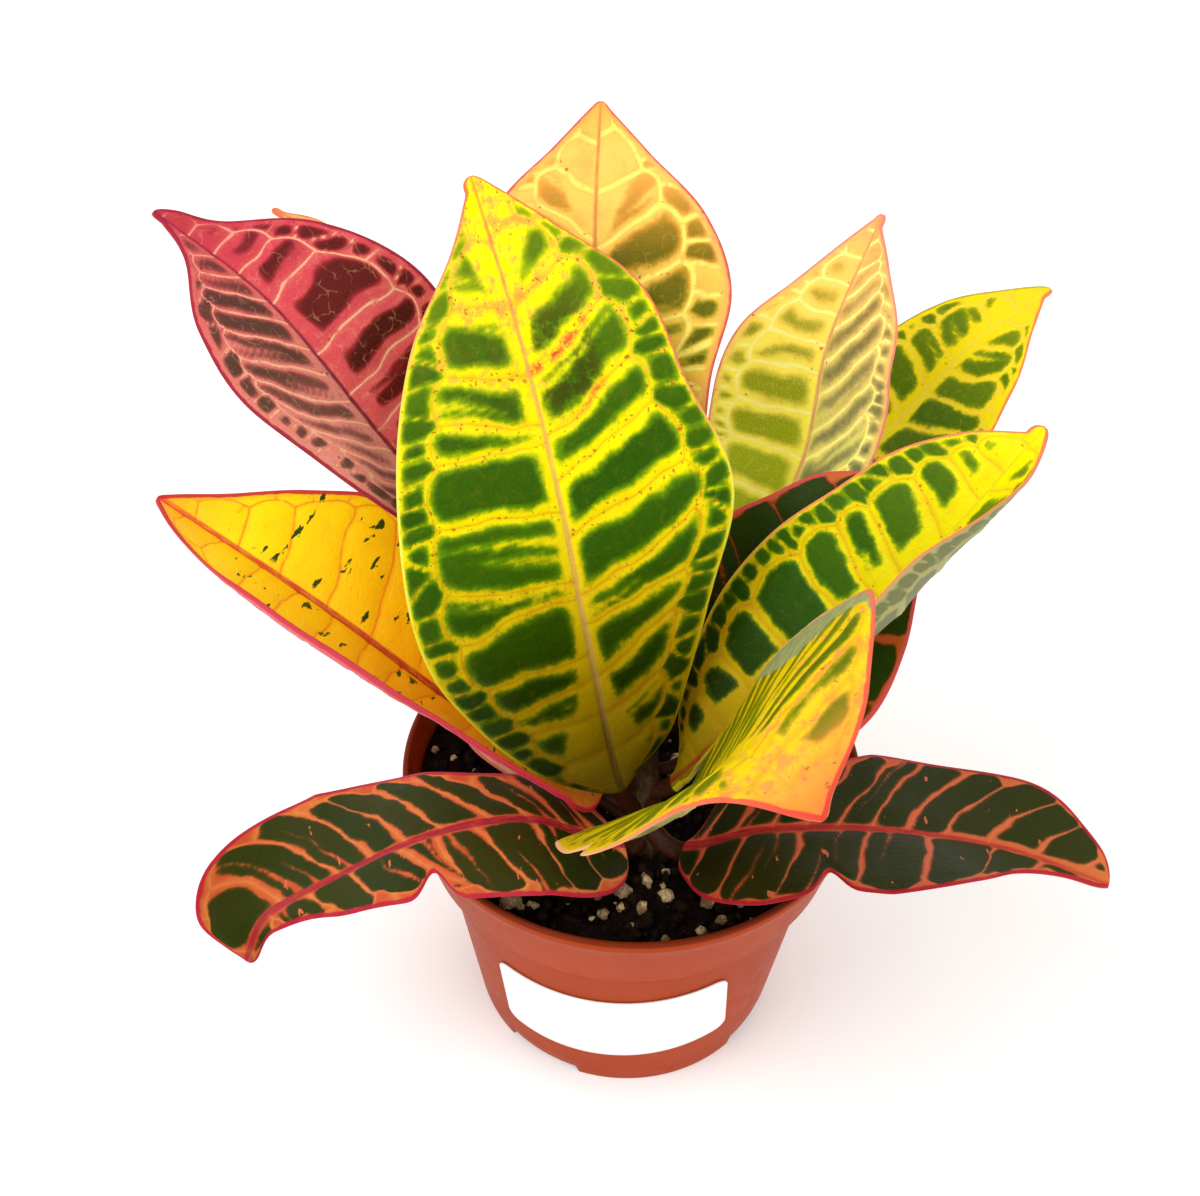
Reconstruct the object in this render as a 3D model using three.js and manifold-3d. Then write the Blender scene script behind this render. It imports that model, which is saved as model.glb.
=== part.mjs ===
// Potted croton: a nursery pot with a blank label, its soil, one short stem and sixteen leaves.
// Millimetres, +Z up. The pot's feet stand on z = 0 and its front faces -Y. Every piece is made round
// the pot's axis, and the whole plant is then moved so that the middle of its outline is the origin.
import * as THREE from "three";
import { mergeVertices } from "three/addons/utils/BufferGeometryUtils.js";
import Module from "manifold-3d";

const wasm = await Module();
wasm.setup();

const GAP = 0.3; // left between neighbouring pieces
const DEGREE = Math.PI / 180;

// Pot: a 4-inch round nursery pot with a tall collar.
const RIM_R = 51;
const POT_H = 73;
const COLLAR_H = 17.5;
const COLLAR_FOOT_R = 47.3; // outside of the collar's lower edge
const WALL_TOP_R = 44.1; // outside of the wall just under the collar
const BASE_R = 36.7;
const WALL = 1.4;
const LIP = 1.6;
const FLOOR_Z = 3; // underside of the raised floor
const FLOOR = 2;
const FOOT_WIDTH = 1.8;
const FOOT_GAP_H = 2.5;
const FOOT_GAP_ARC = 30; // degrees of the base ring taken by each gap between the feet
const FEET = 4;
const FIRST_GAP_AT = -120; // degrees from +X, so just left of the front
const DRAIN_HOLES = 4;
const DRAIN_HOLE_R = 4;
const DRAIN_RING_R = 22;
const POT_SEGMENTS = 72;

// Soil: fills the pot to a few millimetres under the rim.
const SOIL_EDGE_Z = 66;
const SOIL_CROWN = 0.8; // how much the middle stands above the edge
const SOIL_SEGMENTS = 48;
const SOIL_RINGS = 11;
const SOIL_LUMPS = 120;

// Label: a blank sticker wrapped round the lower wall.
const LABEL_WIDTH = 54;
const LABEL_HEIGHT = 26;
const LABEL_CORNER_R = 3;
const LABEL_THICKNESS = 0.5;
const LABEL_OFF_WALL = 0.15;
const LABEL_Z = 27;
const LABEL_AT = -93; // degrees from +X
const LABEL_TILT = 3.5; // its right end is the higher one

// Stem: leans back behind the front leaf.
const STEM = [
  [4, -20, 58],
  [4, -19, 68],
  [3, -13, 80],
  [2, -6, 92],
  [1, -1, 103],
];
const STEM_FOOT_R = 4;
const STEM_TOP_R = 2.6;

// Leaves.
const BLADE = 0.8; // thickness
const MARGIN_BLADE = 0.7;
const MIDRIB = 0.9; // how far the midrib stands out under the blade at its base
const STALK_R = 1.4;
const STALK_FADE = 0.1; // share of the blade's length in which the stalk runs out
const TIP_HALF_WIDTH = 0.5;
const BLADE_ROWS = 16;
const ACROSS = [0, 0.3, 0.58, 0.8, 1]; // from the midrib to the margin
const HEM_FROM = 0.7; // a hem is turned in the part of the half blade beyond this

// The usual outline of a half blade, as shares of its greatest half-width.
const OVAL = [0, 0.42, 0.7, 0.92, 1, 1, 0.78, 0.5, 0.28, 0.07, 0];
const BROAD = [0, 0.33, 0.63, 0.85, 0.96, 1, 0.93, 0.7, 0.41, 0.15, 0];

// Each leaf leaves the stem's middle at the height `from`. Its midrib runs through the points of
// `rib`, of which the first is where the blade begins and the last is the tip. `toward` is the
// compass direction, in degrees from +X, that its back is turned to, and `roll` turns it about its
// midrib. `left` and `right` are its halves, seen from above with the tip away from the viewer:
// `half` are half-widths at eleven stations that crowd towards both ends, `fold` is the angle at
// which the half rises from the midrib, `curl` what is added to it up to the margin, and `hem` what
// is added beyond HEM_FROM. A list gives values at even steps from base to tip. A `notch` is a dent
// in the margin: its place along the blade, its depth and its span.
const LEAVES = [
  {
    name: "tall_front_leaf",
    color: "#9fae1c",
    from: 75,
    rib: [[-2, -18, 82], [-10, -12, 121], [-16, -2, 147], [-24, 9, 175], [-33, 22, 198]],
    toward: 100,
    left: { half: [0, 7, 16, 25, 32, 32, 28, 20, 8, 2, 0], fold: 8 },
    right: { half: [0, 5, 13, 19, 26, 33, 28, 24, 12, 4, 0], fold: 8 },
  },
  {
    name: "top_back_leaf",
    color: "#dba348",
    from: 98,
    rib: [[-4, 1, 110], [-9, 12, 152], [-11, 30, 182], [-11, 48, 202]],
    toward: 90,
    left: { half: [0, 3, 6, 10, 14, 20, 23, 19, 9, 3, 0], fold: 8 },
    right: { half: [0, 7, 14, 18, 20, 22, 26, 21, 10, 3, 0], fold: 8 },
  },
  {
    name: "crimson_leaf",
    color: "#a8485a",
    from: 86,
    rib: [[-20, -2, 116], [-49, 6, 150], [-70, 14, 175], [-91, 20, 190]],
    toward: 165,
    left: { half: [0, 3, 6, 8, 14, 20, 26, 21, 6, 1, 0], fold: 8 },
    right: { half: [0, 8, 16, 22, 25, 28, 28, 19, 7, 3, 0], fold: 25 },
  },
  {
    name: "orange_yellow_leaf",
    color: "#eda32a",
    from: 74.5,
    rib: [[-6, -14, 76], [-34, -12, 96], [-64, -5, 118], [-96, 4, 137]],
    toward: 185,
    left: { half: [0, 8, 13, 14, 14, 17, 20, 18, 11, 4, 0], fold: 12, hem: [70, 70, 70, 60, 0] },
    right: { half: [0, 8, 16, 22, 26, 28, 28, 19, 9, 3, 0], fold: 38 },
  },
  {
    name: "upper_right_leaf",
    color: "#b9a53c",
    from: 101,
    rib: [[19, 18, 99], [34, 36, 127], [38, 47, 152], [47, 57, 177]],
    toward: 60,
    left: { half: [0, 8, 16, 21, 22, 23, 21, 12, 6, 2, 0], fold: 8 },
    right: { half: [0, 3, 8, 14, 20, 22, 23, 21, 10, 1, 0], fold: 35 },
  },
  {
    name: "outer_right_leaf",
    color: "#9aa51e",
    from: 88,
    rib: [[25, 36, 102], [57, 58, 125], [73, 65, 143], [89, 71, 154]],
    toward: 40,
    left: { half: [0, 6, 12, 17, 20, 21, 18, 13, 7, 3, 0], fold: 8 },
    right: { half: [0, 6, 12, 18, 22, 23, 22, 16, 7, 1, 0], fold: 8 },
  },
  {
    name: "rolled_right_leaf",
    color: "#a9ae1d",
    from: 78,
    rib: [[9, -16, 82], [21, -15, 100], [41, -10, 121], [58, -5, 143], [72, 0, 164]],
    toward: 15,
    left: { half: [2, 3, 9, 17, 24, 26, 23, 19, 11, 2, 0], fold: 30 },
    right: {
      half: [0, 2, 5, 9, 18, 24, 24, 20, 14, 5, 0],
      fold: 10,
      curl: [30, 60, 75, 75, 75, 75, 75, 50, 5],
    },
  },
  {
    name: "near_leaf",
    color: "#c3b71f",
    from: 75.5,
    rib: [[9, -27, 86], [14, -55, 126], [16, -82, 162], [24, -100, 171]],
    toward: -75,
    roll: 25,
    left: { half: [0, 8, 14, 18, 22, 26, 29, 30, 17, 4, 0], fold: [30, 30, 30, 20, 12] },
    right: {
      half: [0, 12, 20, 26, 28, 27, 23, 13, 6, 2, 0],
      fold: [18, 16, 5, -4, -5],
      notch: { at: 0.5, depth: 3, span: 0.03 },
    },
  },
  {
    name: "low_left_leaf",
    color: "#3d4326",
    from: 69.8,
    rib: [[-1, -24, 70], [-20, -26, 80], [-40, -31, 80], [-61, -36, 70], [-74, -42, 65], [-76, -52, 64]],
    toward: 195,
    left: {
      half: [2, 11, 17, 20, 19, 16, 12, 6, 4, 4, 0],
      fold: [0, 0, 0, 0, -50],
      notch: { at: 0.468, depth: 7, span: 0.03 },
    },
    right: { half: [1, 6, 11, 13, 14, 19, 23, 22, 15, 10, 0], fold: 0 },
  },
  {
    name: "low_right_leaf",
    color: "#3b4226",
    from: 72,
    rib: [[12, -25, 72], [27, -27, 81], [51, -27, 83], [77, -28, 80], [96, -36, 80]],
    toward: -10,
    left: { half: [1, 4, 12, 15, 18, 22, 21, 18, 11, 6, 0], fold: 5 },
    right: {
      half: [3, 8, 16, 21, 20, 21, 17, 8, 3, 2, 0],
      fold: [0, 10, 35],
      notch: { at: 0.342, depth: 6, span: 0.03 },
    },
  },
  {
    name: "shaded_right_leaf",
    color: "#4b3a22",
    from: 81,
    rib: [[13, -8, 83], [25, -2, 104], [43, 6, 122], [61, 14, 139]],
    toward: 25,
    roll: 15,
    left: { half: [0, 3, 7, 15, 23, 27, 24, 20, 12, 5, 0], fold: 20 },
    right: { half: [0, 9, 18, 24, 26, 26, 20, 11, 6, 3, 0], fold: 5 },
  },
  {
    name: "orange_tip_leaf",
    color: "#e2a45a",
    from: 90,
    rib: [[-17, 12, 108], [-46, 34, 143], [-67, 50, 168], [-80, 58, 173]],
    toward: 150,
    left: { half: widened(OVAL, 14), fold: 8 },
    right: { half: widened(OVAL, 14), fold: 8 },
  },
  {
    name: "small_orange_leaf",
    color: "#dd7b35",
    from: 94,
    rib: [[-9, -6, 107], [-21, -5, 124], [-35, -2, 142], [-47, 1, 155]],
    toward: 165,
    left: { half: widened(OVAL, 6), fold: 8 },
    right: { half: widened(OVAL, 7), fold: 25 },
  },
  {
    name: "low_pale_leaf",
    color: "#c9b27a",
    from: 69.4,
    rib: [[-9, -9, 70.5], [-23, 0, 73], [-36, 9, 75], [-46, 16, 77]],
    toward: 165,
    left: { half: widened(OVAL, 12), fold: 8 },
    right: { half: widened(OVAL, 12), fold: 8 },
  },
  {
    name: "back_leaf",
    color: "#8a9a24",
    from: 82,
    rib: [[3, 4, 82], [2, 30, 92], [2, 58, 96], [4, 84, 90]],
    toward: 90,
    left: { half: widened(BROAD, 24), fold: 8 },
    right: { half: widened(BROAD, 24), fold: 8 },
  },
  {
    name: "back_left_leaf",
    color: "#7d8c2a",
    from: 76,
    rib: [[-8, 2, 75], [-22, 24, 80], [-36, 46, 82], [-48, 66, 76]],
    toward: 130,
    left: { half: widened(BROAD, 22), fold: 8 },
    right: { half: widened(BROAD, 22), fold: 8 },
  },
];

const POT_COLOR = "#ba5236";
const SOIL_COLOR = "#2b2320";
const LABEL_COLOR = "#f4f4f2";
const STEM_COLOR = "#7a4a33";

function widened(outline, halfWidth) {
  return outline.map((share) => share * halfWidth);
}

// A repeatable stream of numbers from 0 to 1.
function randomStream(seed) {
  let state = seed;
  return () => {
    state = (state * 1664525 + 1013904223) % 4294967296;
    return state / 4294967296;
  };
}

// The value at x, from 0 to 1, of a smooth line through evenly spaced values. One value is constant.
function along(values, x) {
  if (!Array.isArray(values)) return values;
  const steps = values.length - 1;
  const place = THREE.MathUtils.clamp(x, 0, 1) * steps;
  const i = Math.min(Math.floor(place), steps - 1);
  const before = i > 0 ? values[i - 1] : 2 * values[0] - values[1];
  const after = i + 2 <= steps ? values[i + 2] : 2 * values[steps] - values[steps - 1];
  const slopeIn = (values[i + 1] - before) / 2;
  const slopeOut = (after - values[i]) / 2;
  const rise = values[i + 1] - values[i];
  const t = place - i;
  return (
    values[i] + slopeIn * t + (3 * rise - 2 * slopeIn - slopeOut) * t * t + (slopeIn + slopeOut - 2 * rise) * t ** 3
  );
}

// A geometry with shared vertices and no collapsed triangles.
function welded(geometry) {
  geometry.deleteAttribute("normal");
  geometry.deleteAttribute("uv");
  const merged = mergeVertices(geometry, 1e-3);
  const index = merged.index.array;
  const kept = [];
  for (let i = 0; i < index.length; i += 3) {
    const [a, b, c] = [index[i], index[i + 1], index[i + 2]];
    if (a !== b && b !== c && c !== a) kept.push(a, b, c);
  }
  merged.setIndex(kept);
  return merged;
}

function solid(geometry) {
  const shape = welded(geometry);
  return new wasm.Manifold(
    new wasm.Mesh({
      numProp: 3,
      vertProperties: new Float32Array(shape.attributes.position.array),
      triVerts: new Uint32Array(shape.index.array),
    }),
  );
}

function geometryOf(body) {
  const mesh = body.getMesh();
  const positions = new Float32Array(mesh.numVert * 3);
  for (let i = 0; i < mesh.numVert; i++) {
    positions.set(mesh.vertProperties.subarray(i * mesh.numProp, i * mesh.numProp + 3), i * 3);
  }
  return new THREE.BufferGeometry()
    .setAttribute("position", new THREE.BufferAttribute(positions, 3))
    .setIndex(new THREE.BufferAttribute(new Uint32Array(mesh.triVerts), 1));
}

function geometryFrom(points, triangles) {
  return new THREE.BufferGeometry()
    .setAttribute("position", new THREE.Float32BufferAttribute(points.flatMap((p) => p.toArray()), 3))
    .setIndex(triangles.flat());
}

// A closed body between two sheets of points, given as rows of equal length. The first sheet's
// faces look the way that is left of its rows and ahead along its columns.
function betweenSheets(top, bottom) {
  const rows = top.length;
  const columns = top[0].length;
  const points = [...top.flat(), ...bottom.flat()];
  const under = rows * columns;
  const at = (i, j) => i * columns + j;
  const triangles = [];
  for (let i = 0; i + 1 < rows; i++) {
    for (let j = 0; j + 1 < columns; j++) {
      const [a, b, c, d] = [at(i, j), at(i, j + 1), at(i + 1, j + 1), at(i + 1, j)];
      triangles.push([a, b, c], [a, c, d]);
      triangles.push([under + a, under + c, under + b], [under + a, under + d, under + c]);
    }
  }
  const rim = [];
  for (let j = 0; j + 1 < columns; j++) rim.push(at(0, j));
  for (let i = 0; i + 1 < rows; i++) rim.push(at(i, columns - 1));
  for (let j = columns - 1; j > 0; j--) rim.push(at(rows - 1, j));
  for (let i = rows - 1; i > 0; i--) rim.push(at(i, 0));
  rim.forEach((a, k) => {
    const b = rim[(k + 1) % rim.length];
    triangles.push([a, under + a, under + b], [a, under + b, b]);
  });
  return geometryFrom(points, triangles);
}

// A body of revolution round Z. The profile starts and ends on the axis and runs outwards along the
// bottom, up the side and back along the top. `lift` may raise a point that its row lets move.
function revolved(profile, segments, lift = () => 0) {
  const points = [];
  for (const { r, z, moves } of profile) {
    for (let k = 0; k < segments; k++) {
      const turn = (2 * Math.PI * k) / segments;
      const x = r * Math.cos(turn);
      const y = r * Math.sin(turn);
      points.push(new THREE.Vector3(x, y, z + (moves ? lift(x, y) : 0)));
    }
  }
  const triangles = [];
  for (let i = 0; i + 1 < profile.length; i++) {
    for (let k = 0; k < segments; k++) {
      const next = (k + 1) % segments;
      const [a, b] = [i * segments + k, i * segments + next];
      triangles.push([a, b, b + segments], [a, b + segments, a + segments]);
    }
  }
  return geometryFrom(points, triangles);
}

function cylinder(radius, bottom, top, x, y) {
  return new THREE.CylinderGeometry(radius, radius, top - bottom, 24)
    .rotateX(Math.PI / 2)
    .translate(x, y, (top + bottom) / 2);
}

const wallSlope = (WALL_TOP_R - BASE_R) / (POT_H - COLLAR_H);
const wallRadius = (z) => BASE_R + wallSlope * z;
const collarZ = POT_H - COLLAR_H;
const floorTop = FLOOR_Z + FLOOR;
const lipInnerR = RIM_R - LIP;
const collarInnerR = COLLAR_FOOT_R - WALL;

function pot() {
  const profile = [
    [0, FLOOR_Z],
    [BASE_R - FOOT_WIDTH, FLOOR_Z],
    [BASE_R - FOOT_WIDTH, 0],
    [BASE_R, 0],
    [WALL_TOP_R, collarZ],
    [COLLAR_FOOT_R - 0.5, collarZ],
    [COLLAR_FOOT_R, collarZ + 0.5],
    [RIM_R - 0.5, POT_H - 2.2],
    [RIM_R, POT_H - 1.7],
    [RIM_R, POT_H - 0.5],
    [RIM_R - 0.5, POT_H],
    [lipInnerR + 0.3, POT_H],
    [lipInnerR, POT_H - 0.5],
    [collarInnerR, collarZ + WALL],
    [WALL_TOP_R - WALL, collarZ - WALL],
    [wallRadius(floorTop) - WALL, floorTop],
    [0, floorTop],
  ].map(([r, z]) => ({ r, z }));
  let body = solid(revolved(profile, POT_SEGMENTS));
  const gapWidth = 2 * BASE_R * Math.sin((FOOT_GAP_ARC / 2) * DEGREE);
  for (let k = 0; k < FEET; k++) {
    const gap = new THREE.BoxGeometry(4 * FOOT_WIDTH, gapWidth, 2 * FOOT_GAP_H)
      .translate(BASE_R - FOOT_WIDTH, 0, 0)
      .rotateZ((FIRST_GAP_AT + (k * 360) / FEET) * DEGREE);
    body = body.subtract(solid(gap));
  }
  for (let k = 0; k < DRAIN_HOLES; k++) {
    const turn = (45 + (k * 360) / DRAIN_HOLES) * DEGREE;
    const hole = cylinder(
      DRAIN_HOLE_R,
      FLOOR_Z - 1,
      floorTop + 1,
      DRAIN_RING_R * Math.cos(turn),
      DRAIN_RING_R * Math.sin(turn),
    );
    body = body.subtract(solid(hole));
  }
  return body;
}

// The heights of the soil's lumps and grains above its even surface.
function soilRelief() {
  const random = randomStream(7);
  const lumps = Array.from({ length: SOIL_LUMPS }, () => {
    const r = 44 * Math.sqrt(random());
    const turn = 2 * Math.PI * random();
    return { x: r * Math.cos(turn), y: r * Math.sin(turn), size: 2 + 2 * random(), height: 0.4 + 0.7 * random() };
  });
  return (x, y) =>
    Math.max(
      ...lumps.map((lump) => lump.height * Math.exp(-((x - lump.x) ** 2 + (y - lump.y) ** 2) / lump.size ** 2)),
    );
}

function soil() {
  const edgeR = THREE.MathUtils.mapLinear(SOIL_EDGE_Z, collarZ + WALL, POT_H - 0.5, collarInnerR, lipInnerR) - GAP;
  const profile = [
    { r: 0, z: floorTop + GAP },
    { r: wallRadius(floorTop) - WALL - GAP, z: floorTop + GAP },
    { r: WALL_TOP_R - WALL - GAP, z: collarZ - WALL + GAP / 2 },
    { r: collarInnerR - GAP, z: collarZ + WALL + GAP },
  ];
  for (let k = 0; k <= SOIL_RINGS; k++) {
    const share = 1 - k / SOIL_RINGS;
    profile.push({ r: edgeR * share, z: SOIL_EDGE_Z + SOIL_CROWN * (1 - share ** 2), moves: k > 0 && k < SOIL_RINGS });
  }
  const body = solid(revolved(profile, SOIL_SEGMENTS, soilRelief()));
  return body.subtract(solid(stemTube(GAP)));
}

// The label is flat paper, so it is laid on the cone of the wall without stretching: a point of it
// keeps its distance from the cone's apex.
function label() {
  const halfAngle = Math.atan(wallSlope);
  const apexZ = -BASE_R / wallSlope;
  const toLabel = (LABEL_Z - apexZ) / Math.cos(halfAngle);
  const columns = 28;
  const rows = 4;
  const tilt = LABEL_TILT * DEGREE;
  const sheet = (outwards) => {
    const lines = [];
    for (let i = 0; i <= columns; i++) {
      const u = -Math.cos((Math.PI * i) / columns) * (LABEL_WIDTH / 2);
      const past = Math.max(0, Math.abs(u) - (LABEL_WIDTH / 2 - LABEL_CORNER_R));
      const cut = LABEL_CORNER_R - Math.sqrt(Math.max(0, LABEL_CORNER_R ** 2 - past ** 2));
      const reach = LABEL_HEIGHT / 2 - cut;
      lines.push(
        Array.from({ length: rows + 1 }, (_, j) => {
          const v = ((2 * j) / rows - 1) * reach;
          const along = u * Math.cos(tilt) - v * Math.sin(tilt);
          const up = u * Math.sin(tilt) + v * Math.cos(tilt) + toLabel;
          const turn = Math.atan2(along, up) / Math.sin(halfAngle) + LABEL_AT * DEGREE;
          const z = apexZ + Math.hypot(along, up) * Math.cos(halfAngle);
          const r = wallRadius(z) + outwards;
          return new THREE.Vector3(r * Math.cos(turn), r * Math.sin(turn), z);
        }),
      );
    }
    return lines;
  };
  return solid(betweenSheets(sheet(LABEL_OFF_WALL), sheet(LABEL_OFF_WALL + LABEL_THICKNESS)));
}

const stemCurve = new THREE.CatmullRomCurve3(
  STEM.map((p) => new THREE.Vector3(...p)),
  false,
  "catmullrom",
  0.5,
);

// The point of the stem's middle at a height.
function stemAt(height) {
  let [low, high] = [0, 1];
  for (let i = 0; i < 30; i++) {
    const middle = (low + high) / 2;
    if (stemCurve.getPoint(middle).z < height) low = middle;
    else high = middle;
  }
  return stemCurve.getPoint(low);
}

// The stem, or what a piece is cut with to stay `clear` of it.
function stemTube(clear = 0) {
  const rings = 10;
  const sides = 12;
  const points = [];
  for (let i = 0; i <= rings; i++) {
    const t = i / rings;
    const middle = stemCurve.getPoint(t);
    if (i === 0) middle.z -= clear;
    if (i === rings) middle.z += clear;
    const r = THREE.MathUtils.lerp(STEM_FOOT_R, STEM_TOP_R, t) + clear;
    for (let k = 0; k < sides; k++) {
      const turn = (2 * Math.PI * k) / sides;
      points.push(new THREE.Vector3(r * Math.cos(turn), r * Math.sin(turn), 0).add(middle));
    }
  }
  const triangles = [];
  for (let i = 0; i < rings; i++) {
    for (let k = 0; k < sides; k++) {
      const next = (k + 1) % sides;
      const [a, b] = [i * sides + k, i * sides + next];
      triangles.push([a, b, b + sides], [a, b + sides, a + sides]);
    }
  }
  for (let k = 1; k + 1 < sides; k++) {
    const last = rings * sides;
    triangles.push([0, k + 1, k], [last, last + k, last + k + 1]);
  }
  return geometryFrom(points, triangles);
}

// The half blade across its midrib at the share s of the blade's length: for each of ACROSS, its
// distance sideways and upwards from the midrib, and the angle at which it slopes there.
function crossSection(half, s, settled) {
  const station = Math.acos(1 - 2 * s) / Math.PI;
  let width = along(half.half, station);
  if (half.notch) width -= half.notch.depth * Math.exp(-(((s - half.notch.at) / half.notch.span) ** 2));
  width = Math.max(width, s > 0.5 ? TIP_HALF_WIDTH : STALK_R);
  const slope = (a) => {
    const hem = along(half.hem ?? 0, s) * Math.max(0, (a - HEM_FROM) / (1 - HEM_FROM));
    return (along(half.fold, s) + along(half.curl ?? 0, s) * a + hem) * settled * DEGREE;
  };
  const section = [{ out: 0, up: 0, slope: slope(0) }];
  for (let j = 1; j < ACROSS.length; j++) {
    const step = (ACROSS[j] - ACROSS[j - 1]) * width;
    const mean = slope((ACROSS[j] + ACROSS[j - 1]) / 2);
    const last = section[j - 1];
    section.push({
      out: last.out + step * Math.cos(mean),
      up: last.up + step * Math.sin(mean),
      slope: slope(ACROSS[j]),
    });
  }
  return section;
}

// Half the thickness above and below the middle surface, at the share s along and a across.
// `stalk` is 1 on the stalk and falls to 0 on the blade.
function thickness(s, a, stalk) {
  const blade = THREE.MathUtils.lerp(BLADE, MARGIN_BLADE, a) / 2;
  const round = Math.max(STALK_R * Math.sqrt(1 - a * a), MARGIN_BLADE / 2);
  const midrib = a === 0 ? MIDRIB * (1 - s) : 0;
  return {
    above: THREE.MathUtils.lerp(blade, round, stalk),
    below: THREE.MathUtils.lerp(blade + midrib, round, stalk),
  };
}

function leaf({ from, rib, toward, roll = 0, left, right }) {
  const points = [stemAt(from), ...rib.map((p) => new THREE.Vector3(...p))];
  const curve = new THREE.CatmullRomCurve3(points, false, "catmullrom", 0.5);
  const perSpan = 80;
  curve.arcLengthDivisions = perSpan * (points.length - 1);
  const lengths = curve.getLengths();
  const bladeFrom = lengths[perSpan] / lengths[lengths.length - 1];

  const away = new THREE.Vector3(Math.cos(toward * DEGREE), Math.sin(toward * DEGREE), 0);
  const facing = new THREE.Vector3(0, 0, 0.8).addScaledVector(away, -0.6);
  const stations = [0, 0.5, 0.85].map((share) => ({ u: bladeFrom * share, s: 0, stalk: 1 }));
  for (let i = 0; i <= BLADE_ROWS; i++) {
    const s = (1 - Math.cos((Math.PI * i) / BLADE_ROWS)) / 2;
    stations.push({ u: bladeFrom + (1 - bladeFrom) * s, s, stalk: Math.max(0, 1 - s / STALK_FADE) });
  }

  const top = [];
  const bottom = [];
  for (const { u, s, stalk } of stations) {
    const middle = curve.getPointAt(u);
    const ahead = curve.getTangentAt(u);
    const flat = facing.clone().addScaledVector(ahead, -facing.dot(ahead)).normalize();
    const up = flat.applyAxisAngle(ahead, along(roll, s) * DEGREE);
    const side = new THREE.Vector3().crossVectors(ahead, up);
    const width = { left: crossSection(left, s, 1 - stalk), right: crossSection(right, s, 1 - stalk) };
    const place = (half, j, sign, layer) => {
      const { out, up: rise, slope } = width[half][j];
      const { above, below } = thickness(s, ACROSS[j], stalk);
      const off = layer === "top" ? above : -below;
      return middle
        .clone()
        .addScaledVector(side, sign * (out - off * Math.sin(slope)))
        .addScaledVector(up, rise + off * Math.cos(slope));
    };
    const row = (layer) => {
      const outer = ACROSS.length - 1;
      const line = [];
      for (let j = outer; j > 0; j--) line.push(place("left", j, -1, layer));
      for (let j = 0; j <= outer; j++) line.push(place("right", j, 1, layer));
      return line;
    };
    top.push(row("top"));
    bottom.push(row("bottom"));
  }
  return solid(betweenSheets(top, bottom)).subtract(solid(stemTube(GAP)));
}

function meshOf(name, body, color, roughness) {
  const mesh = new THREE.Mesh(
    geometryOf(body),
    new THREE.MeshStandardMaterial({ color, roughness, metalness: 0 }),
  );
  mesh.name = name;
  return mesh;
}

const croton = new THREE.Group();
croton.add(
  meshOf("pot", pot(), POT_COLOR, 0.5),
  meshOf("label", label(), LABEL_COLOR, 0.6),
  meshOf("soil", soil(), SOIL_COLOR, 0.95),
  meshOf("stem", solid(stemTube()), STEM_COLOR, 0.7),
  ...LEAVES.map((each) => meshOf(each.name, leaf(each), each.color, 0.35)),
);

const extent = new THREE.Box3().setFromObject(croton);
const middle = extent.getCenter(new THREE.Vector3());
croton.position.set(-middle.x, -middle.y, 0);

export default croton;
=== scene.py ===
"""Potted croton: variegated leaves on one short stem, in a terracotta-coloured nursery pot.

Lengths are in millimetres while a shape is worked out, and in metres in the meshes. A leaf's blade
is described by the distance along its midrib, from the base, and the distance across, from the
midrib. Its veins are worked out in that flat plane, and its colours follow from them.
"""

import math

import bmesh
import bpy
import numpy as np
from mathutils import Matrix, Vector


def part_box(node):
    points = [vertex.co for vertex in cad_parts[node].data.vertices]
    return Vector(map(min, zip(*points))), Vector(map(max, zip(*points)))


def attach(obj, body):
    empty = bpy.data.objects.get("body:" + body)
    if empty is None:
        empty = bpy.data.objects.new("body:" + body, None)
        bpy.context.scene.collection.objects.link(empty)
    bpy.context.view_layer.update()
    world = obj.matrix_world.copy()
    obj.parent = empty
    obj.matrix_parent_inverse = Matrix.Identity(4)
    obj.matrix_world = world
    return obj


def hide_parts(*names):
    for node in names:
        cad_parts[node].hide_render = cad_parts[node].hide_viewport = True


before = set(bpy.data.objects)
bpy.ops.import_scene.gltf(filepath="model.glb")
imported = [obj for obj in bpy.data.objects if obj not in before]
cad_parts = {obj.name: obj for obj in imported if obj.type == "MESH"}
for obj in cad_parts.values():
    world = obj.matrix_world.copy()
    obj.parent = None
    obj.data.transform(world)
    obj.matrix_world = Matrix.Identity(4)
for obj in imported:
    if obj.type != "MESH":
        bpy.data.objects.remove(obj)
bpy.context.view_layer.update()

MM = 0.001
BODY = "root"

# Shapes are worked out round the pot's axis, which stands here in the frame.
pot_box = [Vector(corner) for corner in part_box("pot")]
pot_axis = Vector(((pot_box[0].x + pot_box[1].x) / 2, (pot_box[0].y + pot_box[1].y) / 2, 0))

# Below, lengths are in millimetres and angles in degrees where nothing else is said.

# Photograph and camera
PHOTO_W = 1200
CAMERA_AT = (0.0, -214.6, 304.3)
CAMERA_PITCH = 0.7116  # radians below the horizon
CAMERA_YAW = -0.036  # radians
CAMERA_ROLL = 0.0181  # radians
FOCAL_PX = 1400
SENSOR_MM = 36.0

# Pot
RIM_R = 51
POT_H = 73
COLLAR_H = 17.5
COLLAR_FOOT_R = 47.3
WALL_TOP_R = 44.1
BASE_R = 36.7
WALL = 1.4
LIP = 1.6
FLOOR_Z = 3
FLOOR = 2
FOOT_WIDTH = 1.8
FOOT_GAP_H = 2.5
FOOT_GAP_ARC = 30
LIFTED_RISE = 0.15  # keeps the points that are lifted out of a gap a little apart
FEET = 4
FIRST_GAP_AT = -120
DRAIN_HOLES = 4
DRAIN_HOLE_R = 4
DRAIN_RING_R = 22
FIRST_DRAIN_AT = 45
POT_COLUMNS = 288

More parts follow.
